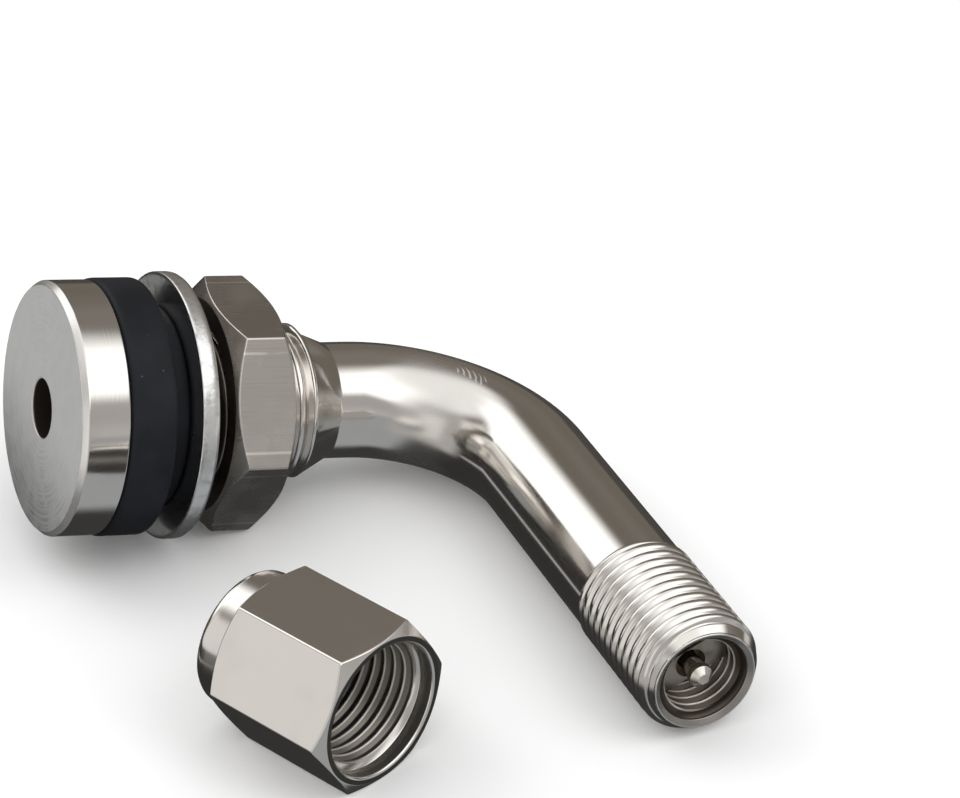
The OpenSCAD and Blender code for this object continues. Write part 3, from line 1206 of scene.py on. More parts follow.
@dataclass
class Stem:
    """The bent stem: head, threaded shank, cone, bend and threaded tip, with the air passage through it."""

    head_d: float = 15.9
    head_t: float = 3.1
    head_edge: float = 0.36
    head_edge_in: float = 0.3
    back_edge: float = 0.16
    shank_d: float = 10.0
    shank_end: float = 16.6
    shank_chamfer: float = 0.3
    thread_from: float = 7.5
    air_d: float = 3.7
    cone_d: float = 9.6
    cone_len: float = 2.0
    tube_d: float = 7.44
    tube_len: float = 1.6
    bend_r: float = 9.6
    tip_len: float = 24.8
    tip_d: float = 7.75
    tip_thread: float = 9.4
    tip_chamfer: float = 1.0
    tip_rim_d: float = 6.4
    mouth_d: float = 5.6
    mouth_depth: float = 0.4
    core_d: float = 5.3
    seat_start: float = 6.44
    seat_len: float = 1.6
    chamber_d: float = 4.2
    chamber_depth: float = 17.0
    thread_clear: float = 0.05
    shank_pitch: float = 1.0
    shank_depth: float = 0.58
    tip_pitch: float = 0.794
    tip_depth: float = 0.28
    tip_crest: float = 0.10
    core_pitch: float = 0.705
    core_depth: float = 0.34
    core_lead: float = 3.0
    core_crest: float = 0.16
    tip_swell: float = 1.0
    rim_land: float = 0.07
    rim_sink: float = 0.22
    land_edge: float = 0.03
    sink_edge: float = 0.04
    land_shade: float = 0.65
    sink_shade: float = 0.8
    hole_edge: float = 0.16
    crisp_edge: float = 0.05
    soft_edge: float = 0.06
    bend_steps: int = 36
    straight_steps: int = 4
    chamfer_steps: int = 3
    finish: Finish = field(default_factory=lambda: PlatedNickel(
        "stem nickel", crease=Crease(along=28.55, turn=0.2735), grease=GapShade(start=3.3, end=10.3)))

    @property
    def tip_x(self) -> float:
        """Distance of the tip's axis from the head's face."""
        return self.shank_end + self.cone_len + self.tube_len + self.bend_r

    @property
    def mouth_y(self) -> float:
        """Distance of the mouth from the stem's axis."""
        return self.bend_r + self.tip_len

    def path(self, axes: Axes) -> BentPath:
        """The bent centreline."""
        return BentPath(axes, self.tip_x - self.bend_r, self.bend_r)

    def tip_axes(self, axes: Axes) -> Axes:
        """Axes that start at the mouth and point out of it."""
        mouth = axes.origin + MM * (self.tip_x * axes.along - self.mouth_y * axes.side)
        return Axes(mouth, -axes.side, axes.along, axes.up)

    def threads(self, mouth: float) -> tuple[Thread, Thread, Thread]:
        """The threads of shank, tip and core.

        Args:
            mouth: distance of the mouth along the centreline.

        Returns:
            The three threads.
        """
        shank = Thread(self.shank_pitch, self.shank_depth, self.shank_d / 2, self.thread_from,
                       self.shank_end + self.shank_chamfer)
        tip = Thread(self.tip_pitch, self.tip_depth, self.tip_d / 2, mouth - self.tip_thread,
                     mouth + self.tip_chamfer, crest=self.tip_crest, swell=self.tip_swell)
        core = Thread(self.core_pitch, self.core_depth, self.core_d / 2,
                      mouth - self.seat_start, mouth - self.mouth_depth, Skin.BORE,
                      mouth / self.core_pitch, self.core_lead, self.core_crest)
        return shank, tip, core

    def corners(self, path: BentPath, mouth: float) -> list[Spot]:
        """The outline, from the air hole's edge round the outside to the mouth and back inside.

        Args:
            path: the bent centreline.
            mouth: distance of the mouth along it.

        Returns:
            The corners.
        """
        shank, tip, core = self.threads(mouth)
        head_r, shank_r, cone_r = self.head_d / 2, self.shank_d / 2, self.cone_d / 2
        tube_r, tip_r, rim_r = self.tube_d / 2, self.tip_d / 2, self.tip_rim_d / 2
        mouth_r, core_r = self.mouth_d / 2, self.core_d / 2
        chamber_r, air_r = self.chamber_d / 2, self.air_d / 2
        tip_start, seat = mouth - self.tip_thread, mouth - self.seat_start
        chamber = mouth - self.chamber_depth
        crisp, soft = self.crisp_edge, self.soft_edge
        rim_cuts = round(self.tip_chamfer / self.tip_pitch * PITCH_STEPS)
        return [
            Spot(0, air_r, self.hole_edge, facing=1),
            Spot(0, head_r - self.head_edge_in, crisp, facing=0.5),
            Spot(self.head_edge, head_r, soft),
            Spot(self.head_t - self.back_edge, head_r, crisp),
            Spot(self.head_t, head_r - self.back_edge, crisp),
            Spot(self.head_t, shank_r),
            Spot(shank.start, shank_r, cuts=shank.cuts()),
            Spot(self.shank_end - self.shank_chamfer, shank_r, cuts=self.chamfer_steps),
            Spot(self.shank_end, cone_r, crisp),
            Spot(self.shank_end + self.cone_len, tube_r, soft),
            Spot(path.bend_start, tube_r, cuts=self.bend_steps),
            Spot(path.bend_end, tube_r, cuts=self.straight_steps),
            Spot(tip_start - (self.tip_d - self.tube_d), tube_r, soft),
            Spot(tip_start, tip_r, cuts=tip.cuts() - 2 * rim_cuts),
            Spot(mouth - self.tip_chamfer, tip_r, cuts=rim_cuts),
            Spot(mouth, rim_r, crisp),
            Spot(mouth, rim_r - self.rim_land, self.land_edge, bore=self.land_shade),
            Spot(mouth - self.rim_sink, mouth_r, self.sink_edge, bore=self.sink_shade),
            Spot(mouth - self.mouth_depth, mouth_r, bore=1),
            Spot(mouth - self.mouth_depth - (mouth_r - core_r), core_r, cuts=core.cuts(), bore=1),
            Spot(seat, core_r, bore=1),
            Spot(seat - self.seat_len, chamber_r, bore=1),
            Spot(chamber, chamber_r, bore=1),
            Spot(chamber - (chamber_r - air_r), air_r, bore=1),
            Spot(path.bend_end, air_r, cuts=self.bend_steps, bore=1),
            Spot(path.bend_start, air_r, cuts=self.straight_steps, bore=1),
        ]

    def build(self, axes: Axes, tree: ThreadTree) -> None:
        """Makes the stem with its three threads.

        Args:
            axes: the stem's axes.
            tree: the tree that cuts threads.
        """
        path = self.path(axes)
        mouth = path.bend_end + self.tip_len
        piece = round_piece("valve_stem", path, self.corners(path, mouth))
        for thread in self.threads(mouth):
            tree.apply(piece, thread.inputs(), self.finish.material())
        settle(piece)
        show(piece, "valve", "stem")


@dataclass
class RimFittings:
    """What clamps the stem in the rim: rubber grommet, washer and hexagon nut."""

    stem: Stem
    grommet_d: float = 16.1
    grommet_t: float = 2.95
    grommet_edge: float = 0.35
    step_d: float = 12.8
    step_len: float = 1.4
    step_edge: float = 0.12
    washer_d: float = 16.8
    washer_t: float = 1.25
    washer_edge: float = 0.5
    washer_back_edge: float = 0.16
    washer_play: float = 0.2
    seat_gap: float = 0.02
    nut_gap: float = 1.5
    nut_af: float = 14.0
    nut_h: float = 4.1
    nut_face_d: float = 13.4
    nut_sink: float = 0.4
    nut_depth: float = 0.22
    fine_edge: float = 0.07

    @property
    def washer_x(self) -> float:
        """Where the washer lies on the grommet's step."""
        return self.stem.head_t + self.grommet_t + self.step_len

    @property
    def nut_x(self) -> float:
        """Where the nut starts."""
        return self.washer_x + self.washer_t + self.nut_gap

    def build_grommet(self, axes: Axes) -> None:
        """Makes the rubber grommet.

        Args:
            axes: the stem's axes.
        """
        bore_r = self.stem.shank_d / 2 + self.stem.thread_clear
        flange_r, step_r, step_x = self.grommet_d / 2, self.step_d / 2, self.stem.head_t + self.grommet_t
        corners = [
            Spot(self.stem.head_t, bore_r),
            Spot(self.stem.head_t, flange_r, self.grommet_edge),
            Spot(step_x, flange_r, self.grommet_edge),
            Spot(step_x, step_r, self.step_edge),
            Spot(self.washer_x, step_r, self.grommet_edge),
            Spot(self.washer_x, bore_r),
        ]
        piece = round_piece("rubber_grommet", axes, corners)
        piece.data.materials.append(MouldedRubber("grommet rubber").material())
        show(piece, "valve", "rim_grommet")

    def build_washer(self, axes: Axes) -> None:
        """Makes the washer.

        Args:
            axes: the stem's axes.
        """
        bore_r, rim_r = self.stem.shank_d / 2 + self.washer_play, self.washer_d / 2
        low, high = self.washer_x + self.seat_gap, self.washer_x + self.washer_t
        corners = [
            Spot(low, bore_r, self.fine_edge, facing=1),
            Spot(low, rim_r, self.washer_back_edge),
            Spot(high, rim_r, self.washer_edge),
            Spot(high, bore_r, self.fine_edge),
        ]
        piece = round_piece("rim_washer", axes, corners)
        piece.data.materials.append(ZincPlate("washer zinc").material())
        show(piece, "washer", "washer")

    def build_nut(self, axes: Axes, tree: ThreadTree) -> None:
        """Makes the hexagon nut, with a flat down and its thread in step with the shank's.

        The thread is shallow, so that the nut clears the cone's large end as it comes off.

        Args:
            axes: the stem's axes.
            tree: the tree that cuts threads.
        """
        flat = (-UP + UP.dot(axes.along) * axes.along).normalized()
        own = Axes(axes.origin, axes.along, flat, axes.along.cross(flat))
        lag = math.atan2(flat.dot(axes.up), flat.dot(axes.side)) / math.tau
        hexagon = Hexagon(self.nut_af)
        low, high, face_r = self.nut_x, self.nut_x + self.nut_h, self.nut_face_d / 2
        bore_r, edge = self.stem.shank_d / 2 + self.stem.thread_clear, self.fine_edge
        thread = Thread(self.stem.shank_pitch, self.nut_depth, bore_r, low, high, Skin.BORE, lag)

        def corners(turn: float) -> list[Spot]:
            """Works out the nut's outline.

            Args:
                turn: share of a turn.

            Returns:
                The corners.
            """
            radius = hexagon.radius(turn)
            cut = (radius - face_r) * CHAMFER_SLOPE
            return [
                Spot(low, bore_r + self.nut_sink, edge, facing=1),
                Spot(low, face_r, edge),
                Spot(low + cut, radius, edge),
                Spot(high - cut, radius, edge),
                Spot(high, face_r, edge, facing=1),
                Spot(high, bore_r + self.nut_sink, edge, bore=1),
                Spot(high - self.nut_sink, bore_r, cuts=thread.cuts(), bore=1),
                Spot(low + self.nut_sink, bore_r, bore=1),
            ]

        piece = turned_piece("clamp_nut", own, hexagon.turns(), corners)
        finish = DrawnNickel("nut nickel", own.euler(), low, self.nut_h)
        tree.apply(piece, thread.inputs(), finish.material())
        settle(piece)
        show(piece, "nut", "hex_nut")


@dataclass
class ValveCore:
    """The sprung core in the tip: slotted plug, pin, spring, and the pieces that stay as packed."""

    stem: Stem
    pin_recess: float = 0.1
    plug_recess: float = 2.0
    plug_len: float = 4.0
    lug_h: float = 1.3
    lug_space: float = 1.9
    bridge_h: float = 0.7
    bridge_w: float = 1.9
    bridge_turn: float = 34.0
    plug_bore: float = 3.9
    barrel_len: float = 7.0
    barrel_lip: float = 0.6
    pin_d: float = 1.2
    pin_clear: float = 0.1
    crown_h: float = 0.42
    crown_d: float = 0.62
    end_d: float = 1.48
    end_h: float = 0.85
    collar_d: float = 2.0
    collar_t: float = 0.5
    collar_recess: float = 0.8
    peen_d: float = 1.6
    peen_t: float = 0.4
    wire_d: float = 0.3
    coil_d: float = 1.8
    coil_turns: float = 8.0
    cup_wall: float = 0.3
    cup_seal_t: float = 0.9
    seat_gap: float = 0.02
    valve_gap: float = 0.05
    press: float = 1.5
    over: float = 0.5
    bridge_rise: float = 0.02
    sharp_angle: float = 35.0
    peen_edge: float = 0.12
    peen_back_edge: float = 0.08
    edge: float = 0.06
    fine_edge: float = 0.05
    neck_len: float = 0.2
    crown_drop: float = 0.06
    crown_edge: float = 0.04
    crown_corner: float = 0.05

    @property
    def plug_end(self) -> float:
        """Depth of the plug's inner end below the mouth."""
        return self.plug_recess + self.plug_len

    @property
    def ring_top(self) -> float:
        """Depth of the plug's ring, under the bridge, below the mouth."""
        return self.plug_recess + self.lug_h + self.bridge_h

    @property
    def collar_top(self) -> float:
        """Depth of the pin's collar below the mouth."""
        return self.plug_end + self.seat_gap + self.collar_recess

    @property
    def barrel_end(self) -> float:
        """Depth of the barrel's inner end below the mouth."""
        return self.plug_end + self.seat_gap + self.barrel_len

    @property
    def pin_end(self) -> float:
        """Depth of the pin's inner end below the mouth."""
        cup = self.cup_seal_t + self.cup_wall + 2 * self.seat_gap
        return self.barrel_end + self.valve_gap + cup + self.peen_t

    def hollow_cutter(self, axes: Axes) -> bpy.types.Object:
        """A stepped round cutter for the plug's bore, the pin and the space between the lugs.

        Args:
            axes: the tip's axes.

        Returns:
            The cutter, half a step round from the plug so that their edges don't meet.
        """
        bore_r, pin_r, lug_r = self.plug_bore / 2, self.pin_d / 2 + self.pin_clear, self.lug_space / 2
        low, ceiling = -self.plug_end - self.over, -self.ring_top + self.bridge_rise
        bridge_top = -self.plug_recess - self.lug_h
        corners = [
            Spot(low, 0), Spot(low, bore_r), Spot(ceiling, bore_r), Spot(ceiling, pin_r),
            Spot(bridge_top, pin_r), Spot(bridge_top, lug_r), Spot(self.over, lug_r), Spot(self.over, 0),
        ]
        turns = [turn + 0.5 / ROUND_STEPS for turn in even_turns()]
        return turned_piece("cutter", axes, turns, lambda turn: corners, closed=False)

    def side_cutter(self, axes: Axes, sign: int) -> bpy.types.Object:
        """A block that frees one side of the plug's bridge.

        Args:
            axes: the tip's axes.
            sign: 1 or -1, for the side.

        Returns:
            The cutter.
        """
        angle = math.radians(self.bridge_turn)
        run = math.cos(angle) * axes.side + math.sin(angle) * axes.up
        across = sign * axes.along.cross(run)
        wide, deep = self.stem.core_d, self.stem.core_d / 2
        mesh = bpy.data.meshes.new("cutter")
        shape = bmesh.new()
        points = [
            shape.verts.new(axes.origin + MM * (z * axes.along + x * run + y * across))
            for z in (-self.ring_top, self.over)
            for y in (self.bridge_w / 2, deep + self.bridge_w)
            for x in (-wide, wide)
        ]
        for quad in ((0, 1, 3, 2), (4, 5, 7, 6), (0, 1, 5, 4), (2, 3, 7, 6), (0, 2, 6, 4), (1, 3, 7, 5)):
            shape.faces.new([points[corner] for corner in quad])
        bmesh.ops.recalc_face_normals(shape, faces=shape.faces)
        shape.to_mesh(mesh)
        shape.free()
        return placed("cutter", mesh)

    def build_plug(self, axes: Axes, tree: ThreadTree, finish: Finish) -> None:
        """Makes the threaded plug with its bridge and two lugs.

        Args:
            axes: the tip's axes.
            tree: the tree that cuts threads.
            finish: its finish.
        """
        stem, radius = self.stem, self.stem.core_d / 2 - self.stem.thread_clear
        thread = Thread(stem.core_pitch, stem.core_depth, radius, -self.plug_end - self.over,
                        -self.plug_recess + self.over)
        corners = [
            Spot(-self.plug_end, 0),
            Spot(-self.plug_end, radius, cuts=thread.cuts()),
            Spot(-self.plug_recess, radius),
            Spot(-self.plug_recess, 0),
        ]
        piece = round_piece("core_plug_threaded", axes, corners, closed=False)
        tree.apply(piece, thread.inputs(), finish.material())
        settle(piece)
        cutters = [self.hollow_cutter(axes), self.side_cutter(axes, 1), self.side_cutter(axes, -1)]
        for cutter in cutters:
            modifier = piece.modifiers.new("Cut", "BOOLEAN")
            modifier.operation = "DIFFERENCE"
            modifier.solver = "EXACT"
            modifier.object = cutter
        settle(piece)
        for cutter in cutters:
            bpy.data.objects.remove(cutter)
        piece.data.set_sharp_from_angle(angle=math.radians(self.sharp_angle))
        show(piece, "valve", "core_plug")

    def build_pin(self, axes: Axes, finish: Finish) -> None:
        """Makes the pin with its collar, its peened end and a crowned outer end.

        Args:
            axes: the tip's axes.
            finish: its finish.
        """
        pin_r, collar_r, peen_r, end_r = (d / 2 for d in (self.pin_d, self.collar_d, self.peen_d, self.end_d))
        crown = Hexagon(self.crown_d, self.crown_corner)
        low, top, collar_low = -self.pin_end, -self.pin_recess, -self.collar_top - self.collar_t

        def corners(turn: float) -> list[Spot]:
            """Works out the pin's outline.

            Args:
                turn: share of a turn.

            Returns:
                The corners.
            """
            return [
                Spot(low, 0),
                Spot(low, peen_r, self.peen_edge),
                Spot(low + self.peen_t, peen_r, self.peen_back_edge),
                Spot(low + self.peen_t, pin_r),
                Spot(collar_low, pin_r),
                Spot(collar_low, collar_r, self.edge),
                Spot(-self.collar_top, collar_r, self.edge),
                Spot(-self.collar_top, pin_r),
                Spot(top - self.end_h - self.neck_len, pin_r, self.fine_edge),
                Spot(top - self.end_h, end_r, self.edge),
                Spot(top - self.crown_h, end_r, self.fine_edge),
                Spot(top - self.crown_drop, crown.radius(turn), self.crown_edge),
                Spot(top, 0),
            ]

        piece = turned_piece("core_pin_crowned", axes, even_turns(), corners, closed=False)
        piece.data.materials.append(finish.material())
        show(piece, "pin", "core_pin")

    def build_spring(self, axes: Axes) -> None:
        """Winds the spring from the barrel's lip to the pin's collar.

        Args:
            axes: the tip's axes.
        """
        low = -(self.barrel_end - self.barrel_lip - self.seat_gap)
        length = -(self.collar_top + self.collar_t + self.seat_gap) - low
        steel = CoreMetal("spring steel", metal=(0.62, 0.62, 0.62), cloud=(0.48, 0.48, 0.48))
        piece = placed("core_spring_wound", bpy.data.meshes.new("spring"))
        numbers = {"Turns": self.coil_turns, "Coil radius": self.coil_d / 2 * MM,
                   "Wire radius": self.wire_d / 2 * MM, "Length": (length - self.wire_d) * MM}
        SpringTree().apply(piece, numbers, steel.material())
        settle(piece)
        start = axes.origin + MM * (low + self.wire_d / 2) * axes.along
        turn = Matrix((axes.side, axes.up, axes.along)).transposed().to_4x4()
        piece.data.transform(Matrix.Translation(start) @ turn)
        tidy_mesh(piece.data)
        show(piece, "valve", "core_spring")
        anchor = axes.origin + MM * low * axes.along
        tuple(axes.along)
        1 - self.press / length
        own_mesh(piece)

    def build(self, axes: Axes, tree: ThreadTree, nodes: dict[str, bpy.types.Object]) -> None:
        """Makes the core's pieces and dresses those that stay as packed.

        Args:
            axes: the tip's axes.
            tree: the tree that cuts threads.
            nodes: the part's nodes by name.
        """
        brass = CoreMetal("core brass")
        # Painted shade: the plug, deep in the mouth, gets a darker copy of the core's brass.
        plug_metal_in_shade = CoreMetal("plug brass", metal=(0.42, 0.38, 0.33), cloud=(0.26, 0.225, 0.185))
        pin_brass = CoreMetal("pin brass", metal=(0.74, 0.71, 0.65), cloud=(0.60, 0.56, 0.50), gloss=0.18)
        self.build_plug(axes, tree, plug_metal_in_shade)
        self.build_pin(axes, pin_brass)
        self.build_spring(axes)
        for name, finish in (("core_barrel", brass), ("core_cup", brass),
                             ("core_barrel_seal", SealRing("seal ring")),
                             ("core_cup_seal", MouldedRubber("grommet rubber"))):
            dress(nodes[name], finish)


@dataclass
class DustCap:
    """The loose hexagon cap with its seal."""

    stem: Stem
    across: float = 9.5
    hex_len: float = 9.1
    boss_d: float = 8.6
    boss_len: float = 2.0
    boss_edge: float = 0.5
    face_d: float = 9.3
    depth: float = 8.6
    mouth_d: float = 8.4
    mouth: float = 1.3
    seal_t: float = 1.0
    groove: float = 0.2
    corner: float = 0.22
    lead_in: float = 0.55
    rim_break: float = 0.13
    rim_run: float = 1.2
    lip_edge: float = 0.05
    lip_shade: float = 0.1
    fine_edge: float = 0.08
    face_edge: float = 0.04
    boss_root: float = 0.06
    finish: Finish = field(default_factory=lambda: PlatedNickel(
        "cap nickel", bore_tint=(0.19, 0.176, 0.155), bore_ridge=(0.80, 0.765, 0.72),
        face_tint=(0.10, 0.096, 0.09), face_dull=(0.08, 0.077, 0.072), gloss=0.15, face_gloss=0.3,
        face_metal=1.0, relief=0.0005))

    @property
    def thread_mid(self) -> float:
        """Middle of the free thread, from the mouth."""
        return (self.mouth + self.depth - self.seal_t) / 2

    def build(self, axes: Axes, tree: ThreadTree, nodes: dict[str, bpy.types.Object]) -> None:
        """Makes the cap and dresses its seal.

        Args:
            axes: the cap's axes, from its mouth inwards.
            tree: the tree that cuts threads.
            nodes: the part's nodes by name.
        """
        hexagon = Hexagon(self.across, self.corner)
        bore_r, mouth_r = self.stem.tip_d / 2 + self.stem.thread_clear, self.mouth_d / 2
        face_r, boss_r, edge = self.face_d / 2, self.boss_d / 2, self.fine_edge
        thread_end, end = self.depth - self.seal_t, self.hex_len + self.boss_len
        thread = Thread(self.stem.tip_pitch, self.stem.tip_depth, bore_r, self.mouth - (mouth_r - bore_r),
                        thread_end, Skin.BORE)

        def corners(turn: float) -> list[Spot]:
            """Works out the cap's outline.

            Args:
                turn: share of a turn.

            Returns:
                The corners.
            """
            radius = hexagon.radius(turn)
            cut = (radius - face_r) * CHAMFER_SLOPE
            return [
                Spot(self.depth, 0, bore=1),
                Spot(self.depth, bore_r + self.groove, bore=1),
                Spot(thread_end, bore_r + self.groove, bore=1),
                Spot(thread_end, bore_r, cuts=thread.cuts(), bore=1),
                Spot(self.mouth, bore_r, bore=self.lip_shade),
                Spot(self.mouth - (mouth_r - bore_r), mouth_r, self.lip_edge, bore=self.lip_shade),
                Spot(self.lead_in, mouth_r, bore=1),
                Spot(self.rim_break * self.rim_run, mouth_r, bore=1),
                Spot(self.rim_break, mouth_r),
                Spot(0, mouth_r + self.rim_break),
                Spot(0, mouth_r + self.rim_break * self.rim_run, facing=1),
                Spot(0, face_r, self.face_edge),
                Spot(cut, radius, edge),
                Spot(self.hex_len - cut, radius, edge),
                Spot(self.hex_len, face_r, self.face_edge),
                Spot(self.hex_len, boss_r, self.boss_root),
                Spot(end, boss_r, self.boss_edge),
                Spot(end, 0),
            ]

        piece = turned_piece("dust_cap", axes, hexagon.turns(), corners, closed=False)
        tree.apply(piece, thread.inputs(), self.finish.material())
        settle(piece)
        show(piece, "valve", "cap")
        dress(nodes["cap_seal"], MouldedRubber("grommet rubber"))


# The studio

@dataclass(frozen=True)
class Panel:
    """A soft-edged field on the studio's inside, seen only in reflections.

    Attributes:
        heading: degrees from +X towards +Y.
        low: degrees above the floor of its lower edge.
        high: degrees above the floor of its upper edge.
        half_w: half its width in degrees.
        soft_w: softness of its upright edges in degrees.
        soft_low: softness of its lower edge in degrees.
        soft_high: softness of its upper edge in degrees.
        colour: its colour at its brightness.
    """

    heading: float
    low: float
    high: float
    half_w: float
    soft_w: float
    soft_low: float
    soft_high: float
    colour: Colour

    def mask(self, kit: NodeKit, direction: bpy.types.NodeSocket) -> Value:
        """Where the panel is.

        Args:
            kit: builder of the studio's tree.
            direction: the direction from the object.

        Returns:
            1 on the panel and 0 off it.
        """
        heading = math.radians(self.heading)
        ahead = kit.dot(direction, (math.cos(heading), math.sin(heading), 0.0))
        aside = kit.dot(direction, (math.sin(heading), -math.cos(heading), 0.0))
        turn = abs(aside.angle_from(ahead))
        across = 1 - turn.rise(self.half_w - self.soft_w, self.half_w + self.soft_w)
        height = kit.dot(direction, UP).arc_sine()
        above = height.rise(self.low - self.soft_low, self.low + self.soft_low)
        return across * above * (1 - height.rise(self.high - self.soft_high, self.high + self.soft_high))


@dataclass(frozen=True)
class Lamp:
    """A soft square lamp that looks at the object, with its power in watts."""

    name: str
    place: Triple
    power: float
    size: float = 320.0

    def build(self) -> None:
        """Hangs the lamp."""
        data = bpy.data.lights.new(self.name, "AREA")
        data.energy = self.power
        data.size = self.size * MM
        made = placed(self.name, data)
        made.location = MM * Vector(self.place)
        made.rotation_euler = (-Vector(self.place)).to_track_quat("-Z", "Y").to_euler()
        made.visible_glossy = False


@dataclass
class Studio:
    """Floor, light, reflections and camera."""

    camera_at: Triple = (-62.09, -178.44, 138.38)
    camera_turn: Triple = (56.636, 1.276, -22.396)
    lens: float = 141.63
    sensor: float = 36.0
    near: float = 10.0
    floor_half: float = 1500.0
    floor_drop: float = 0.01
    floor_tint: Colour = (0.95, 0.95, 0.95)
    tent_r: float = 700.0
    wall: Colour = (0.17, 0.15, 0.128)
    sky: float = 0.93
    panels: tuple[Panel, ...] = (
        # Floor all round, painted dark as painted shade, seen only in reflections
        Panel(heading=0.0, half_w=181.0, soft_w=0.5, low=-91.0, high=-3.0,
              soft_low=0.5, soft_high=1.5, colour=(0.045, 0.045, 0.044)),
        # Brown foot of the far wall
        Panel(heading=70.0, half_w=100.0, soft_w=10.0, low=-22.0, high=-3.0,
              soft_low=8.0, soft_high=1.5, colour=(0.075, 0.068, 0.06)),
        # Pale strip on the floor to the right
        Panel(heading=-20.0, half_w=48.0, soft_w=12.0, low=-16.0, high=-4.0,
              soft_low=5.0, soft_high=1.5, colour=(0.66, 0.64, 0.61)),
        # Dark floor at the far left, painted shade seen only in reflections
        Panel(heading=125.0, half_w=42.0, soft_w=10.0, low=-60.0, high=-1.0,
              soft_low=2.0, soft_high=1.0, colour=(0.035, 0.034, 0.033)),
        # Pale line across it
        Panel(heading=125.0, half_w=40.0, soft_w=8.0, low=-22.0, high=-19.3,
              soft_low=0.8, soft_high=0.8, colour=(0.5, 0.5, 0.49)),
        # Cool grey floor in front
        Panel(heading=-72.0, half_w=58.0, soft_w=10.0, low=-74.0, high=-1.0,
              soft_low=7.0, soft_high=2.0, colour=(0.36, 0.375, 0.385)),
        # Grey wall in front
        Panel(heading=-70.0, half_w=62.0, soft_w=12.0, low=-1.0, high=33.0,
              soft_low=2.0, soft_high=3.0, colour=(0.43, 0.415, 0.40)),
        # Its lighter foot
        Panel(heading=-70.0, half_w=62.0, soft_w=12.0, low=-1.0, high=9.0,
              soft_low=2.0, soft_high=7.0, colour=(0.50, 0.49, 0.48)),
        # Grey wall at the near left
        Panel(heading=-145.0, half_w=42.0, soft_w=12.0, low=-28.0, high=60.0,
              soft_low=6.0, soft_high=10.0, colour=(0.47, 0.455, 0.44)),
        # Bright strip in it
        Panel(heading=-142.0, half_w=15.0, soft_w=7.0, low=-14.0, high=32.0,
              soft_low=3.0, soft_high=6.0, colour=(0.85, 0.84, 0.82)),
        # White ceiling
        Panel(heading=0.0, half_w=181.0, soft_w=0.5, low=49.0, high=91.0,
              soft_low=8.0, soft_high=0.5, colour=(1.0, 1.0, 0.99)),
        # Brown field at the far right
        Panel(heading=22.0, half_w=36.0, soft_w=14.0, low=20.0, high=61.0,
              soft_low=10.0, soft_high=7.0, colour=(0.22, 0.20, 0.178)),
        # Large soft light in front
        Panel(heading=-53.0, half_w=55.0, soft_w=25.0, low=31.0, high=66.0,
              soft_low=5.5, soft_high=8.0, colour=(1.5, 1.5, 1.49)),
        # Soft light at the far left
        Panel(heading=114.0, half_w=25.5, soft_w=11.0, low=18.0, high=62.0,
              soft_low=1.5, soft_high=8.0, colour=(1.45, 1.45, 1.44)),
        # Dark foot under it
        Panel(heading=126.0, half_w=20.0, soft_w=6.0, low=-1.0, high=17.0,
              soft_low=1.0, soft_high=1.5, colour=(0.10, 0.09, 0.08)),
        # Pale wall to the left
        Panel(heading=162.0, half_w=18.0, soft_w=5.0, low=-3.0, high=40.0,
              soft_low=1.0, soft_high=5.0, colour=(0.80, 0.785, 0.765)),
    )

    lamps: tuple[Lamp, ...] = (
        Lamp("key", place=(260.0, -260.0, 420.0), power=0.6),
        Lamp("fill", place=(-240.0, 300.0, 360.0), power=0.5),
    )

    def tent_paint(self, kit: NodeKit) -> Sockets:
        """Paints the studio's inside: one wall colour and the panels over it.

        Args:
            kit: builder of the tent's tree.

        Returns:
            Values or links of the shader's sockets.
        """
        direction = kit.node("ShaderNodeVectorMath", {"operation": "NORMALIZE"}, {0: kit.point()}).outputs[0]
        colour: object = self.wall
        for panel in self.panels:
            colour = kit.mix(panel.mask(kit, direction), colour, panel.colour)
        return {"Color": colour, "Strength": 1.0}

    def build_tent(self) -> None:
        """Makes the tent that metal reflects."""
        material = shaded("tent inside", "ShaderNodeEmission", self.tent_paint)
        material.cycles.emission_sampling = "NONE"
        shape = bmesh.new()
        bmesh.ops.create_uvsphere(shape, u_segments=48, v_segments=24, radius=self.tent_r * MM)
        mesh = bpy.data.meshes.new("tent")
        shape.to_mesh(mesh)
        shape.free()
        mesh.materials.append(material)
        tent = placed("tent", mesh)
        tent.visible_camera = False
        tent.visible_diffuse = False
        tent.visible_transmission = False
        tent.visible_shadow = False

    def build_floor(self) -> None:
        """Makes the plain white floor."""
        half, drop = self.floor_half * MM, -self.floor_drop * MM
        corners = [(x * half, y * half, drop) for x, y in ((-1, -1), (1, -1), (1, 1), (-1, 1))]
        paint: Sockets = {"Color": self.floor_tint}
        mesh = bpy.data.meshes.new("floor")
        mesh.from_pydata(corners, [], [(0, 1, 2, 3)])
        mesh.materials.append(shaded("white floor", "ShaderNodeBsdfDiffuse", lambda kit: paint))
        floor = placed("floor", mesh)
        # The floor is hidden from reflections, and the tent's painted floor fields stand in for it.
        floor.visible_glossy = False

    def build_camera(self) -> None:
        """Sets the camera at the photograph's view."""
        data = bpy.data.cameras.new("camera")
        data.lens = self.lens
        data.sensor_width = self.sensor
        data.clip_start = self.near * MM
        made = placed("camera", data)
        made.location = MM * Vector(self.camera_at)
        made.rotation_euler = Euler([math.radians(angle) for angle in self.camera_turn])
        bpy.context.scene.camera = made

    def build(self) -> None:
        """Makes the whole studio."""
        scene = bpy.context.scene
        scene.view_settings.view_transform = "Standard"
        scene.world = bpy.data.worlds.new("studio air")
        kit = fresh_tree(scene.world)
        air = kit.node("ShaderNodeBackground", None, {"Color": (1.0, 1.0, 1.0), "Strength": self.sky})
        kit.node("ShaderNodeOutputWorld", None, {"Surface": air.outputs[0]})
        self.build_camera()
        self.build_floor()
        self.build_tent()
        for lamp in self.lamps:
            lamp.build()


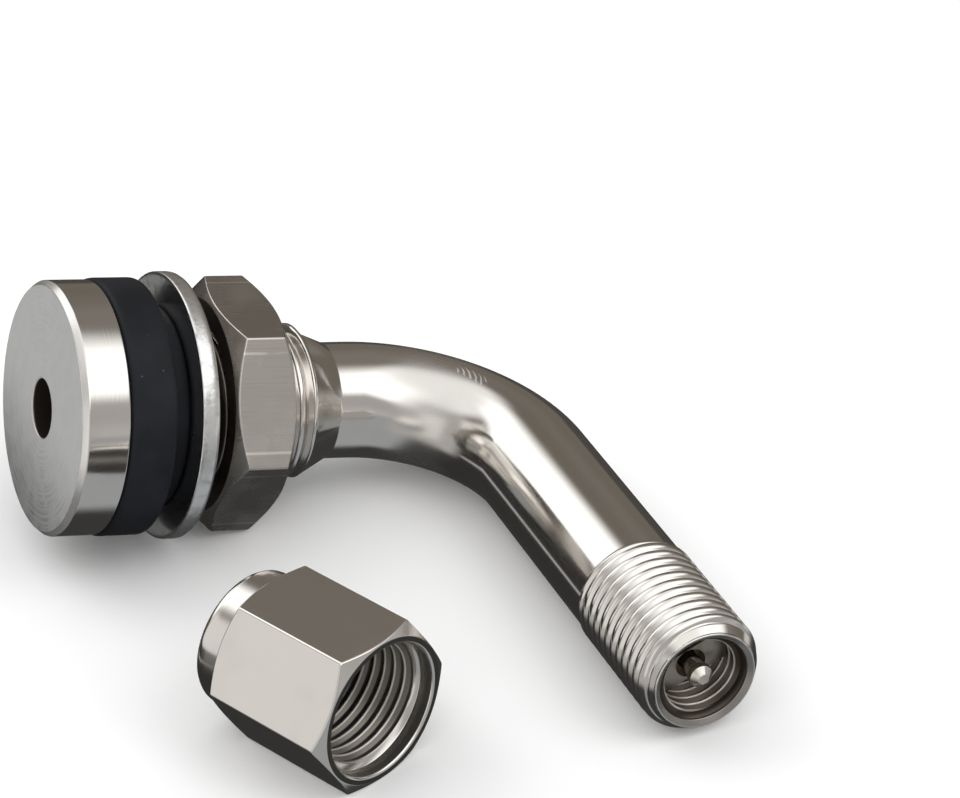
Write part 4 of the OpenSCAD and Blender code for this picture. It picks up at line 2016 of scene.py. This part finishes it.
def main() -> None:
    """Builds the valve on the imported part, then the studio."""
    logging.basicConfig(level=logging.INFO, format="%(message)s")
    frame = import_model()
    stem = Stem()
    fittings, core, cap = RimFittings(stem), ValveCore(stem), DustCap(stem)
    setting = Setting.read(frame, fittings.nut_x + fittings.nut_h / 2, cap.thread_mid)
    tip, tree = stem.tip_axes(setting.stem), ThreadTree()
    stem.build(setting.stem, tree)
    fittings.build_grommet(setting.stem)
    fittings.build_washer(setting.stem)
    fittings.build_nut(setting.stem, tree)
    core.build(tip, tree, frame["nodes"])
    cap.build(setting.cap, tree, frame["nodes"])
    Studio().build()


if __name__ == "__main__":
    main()
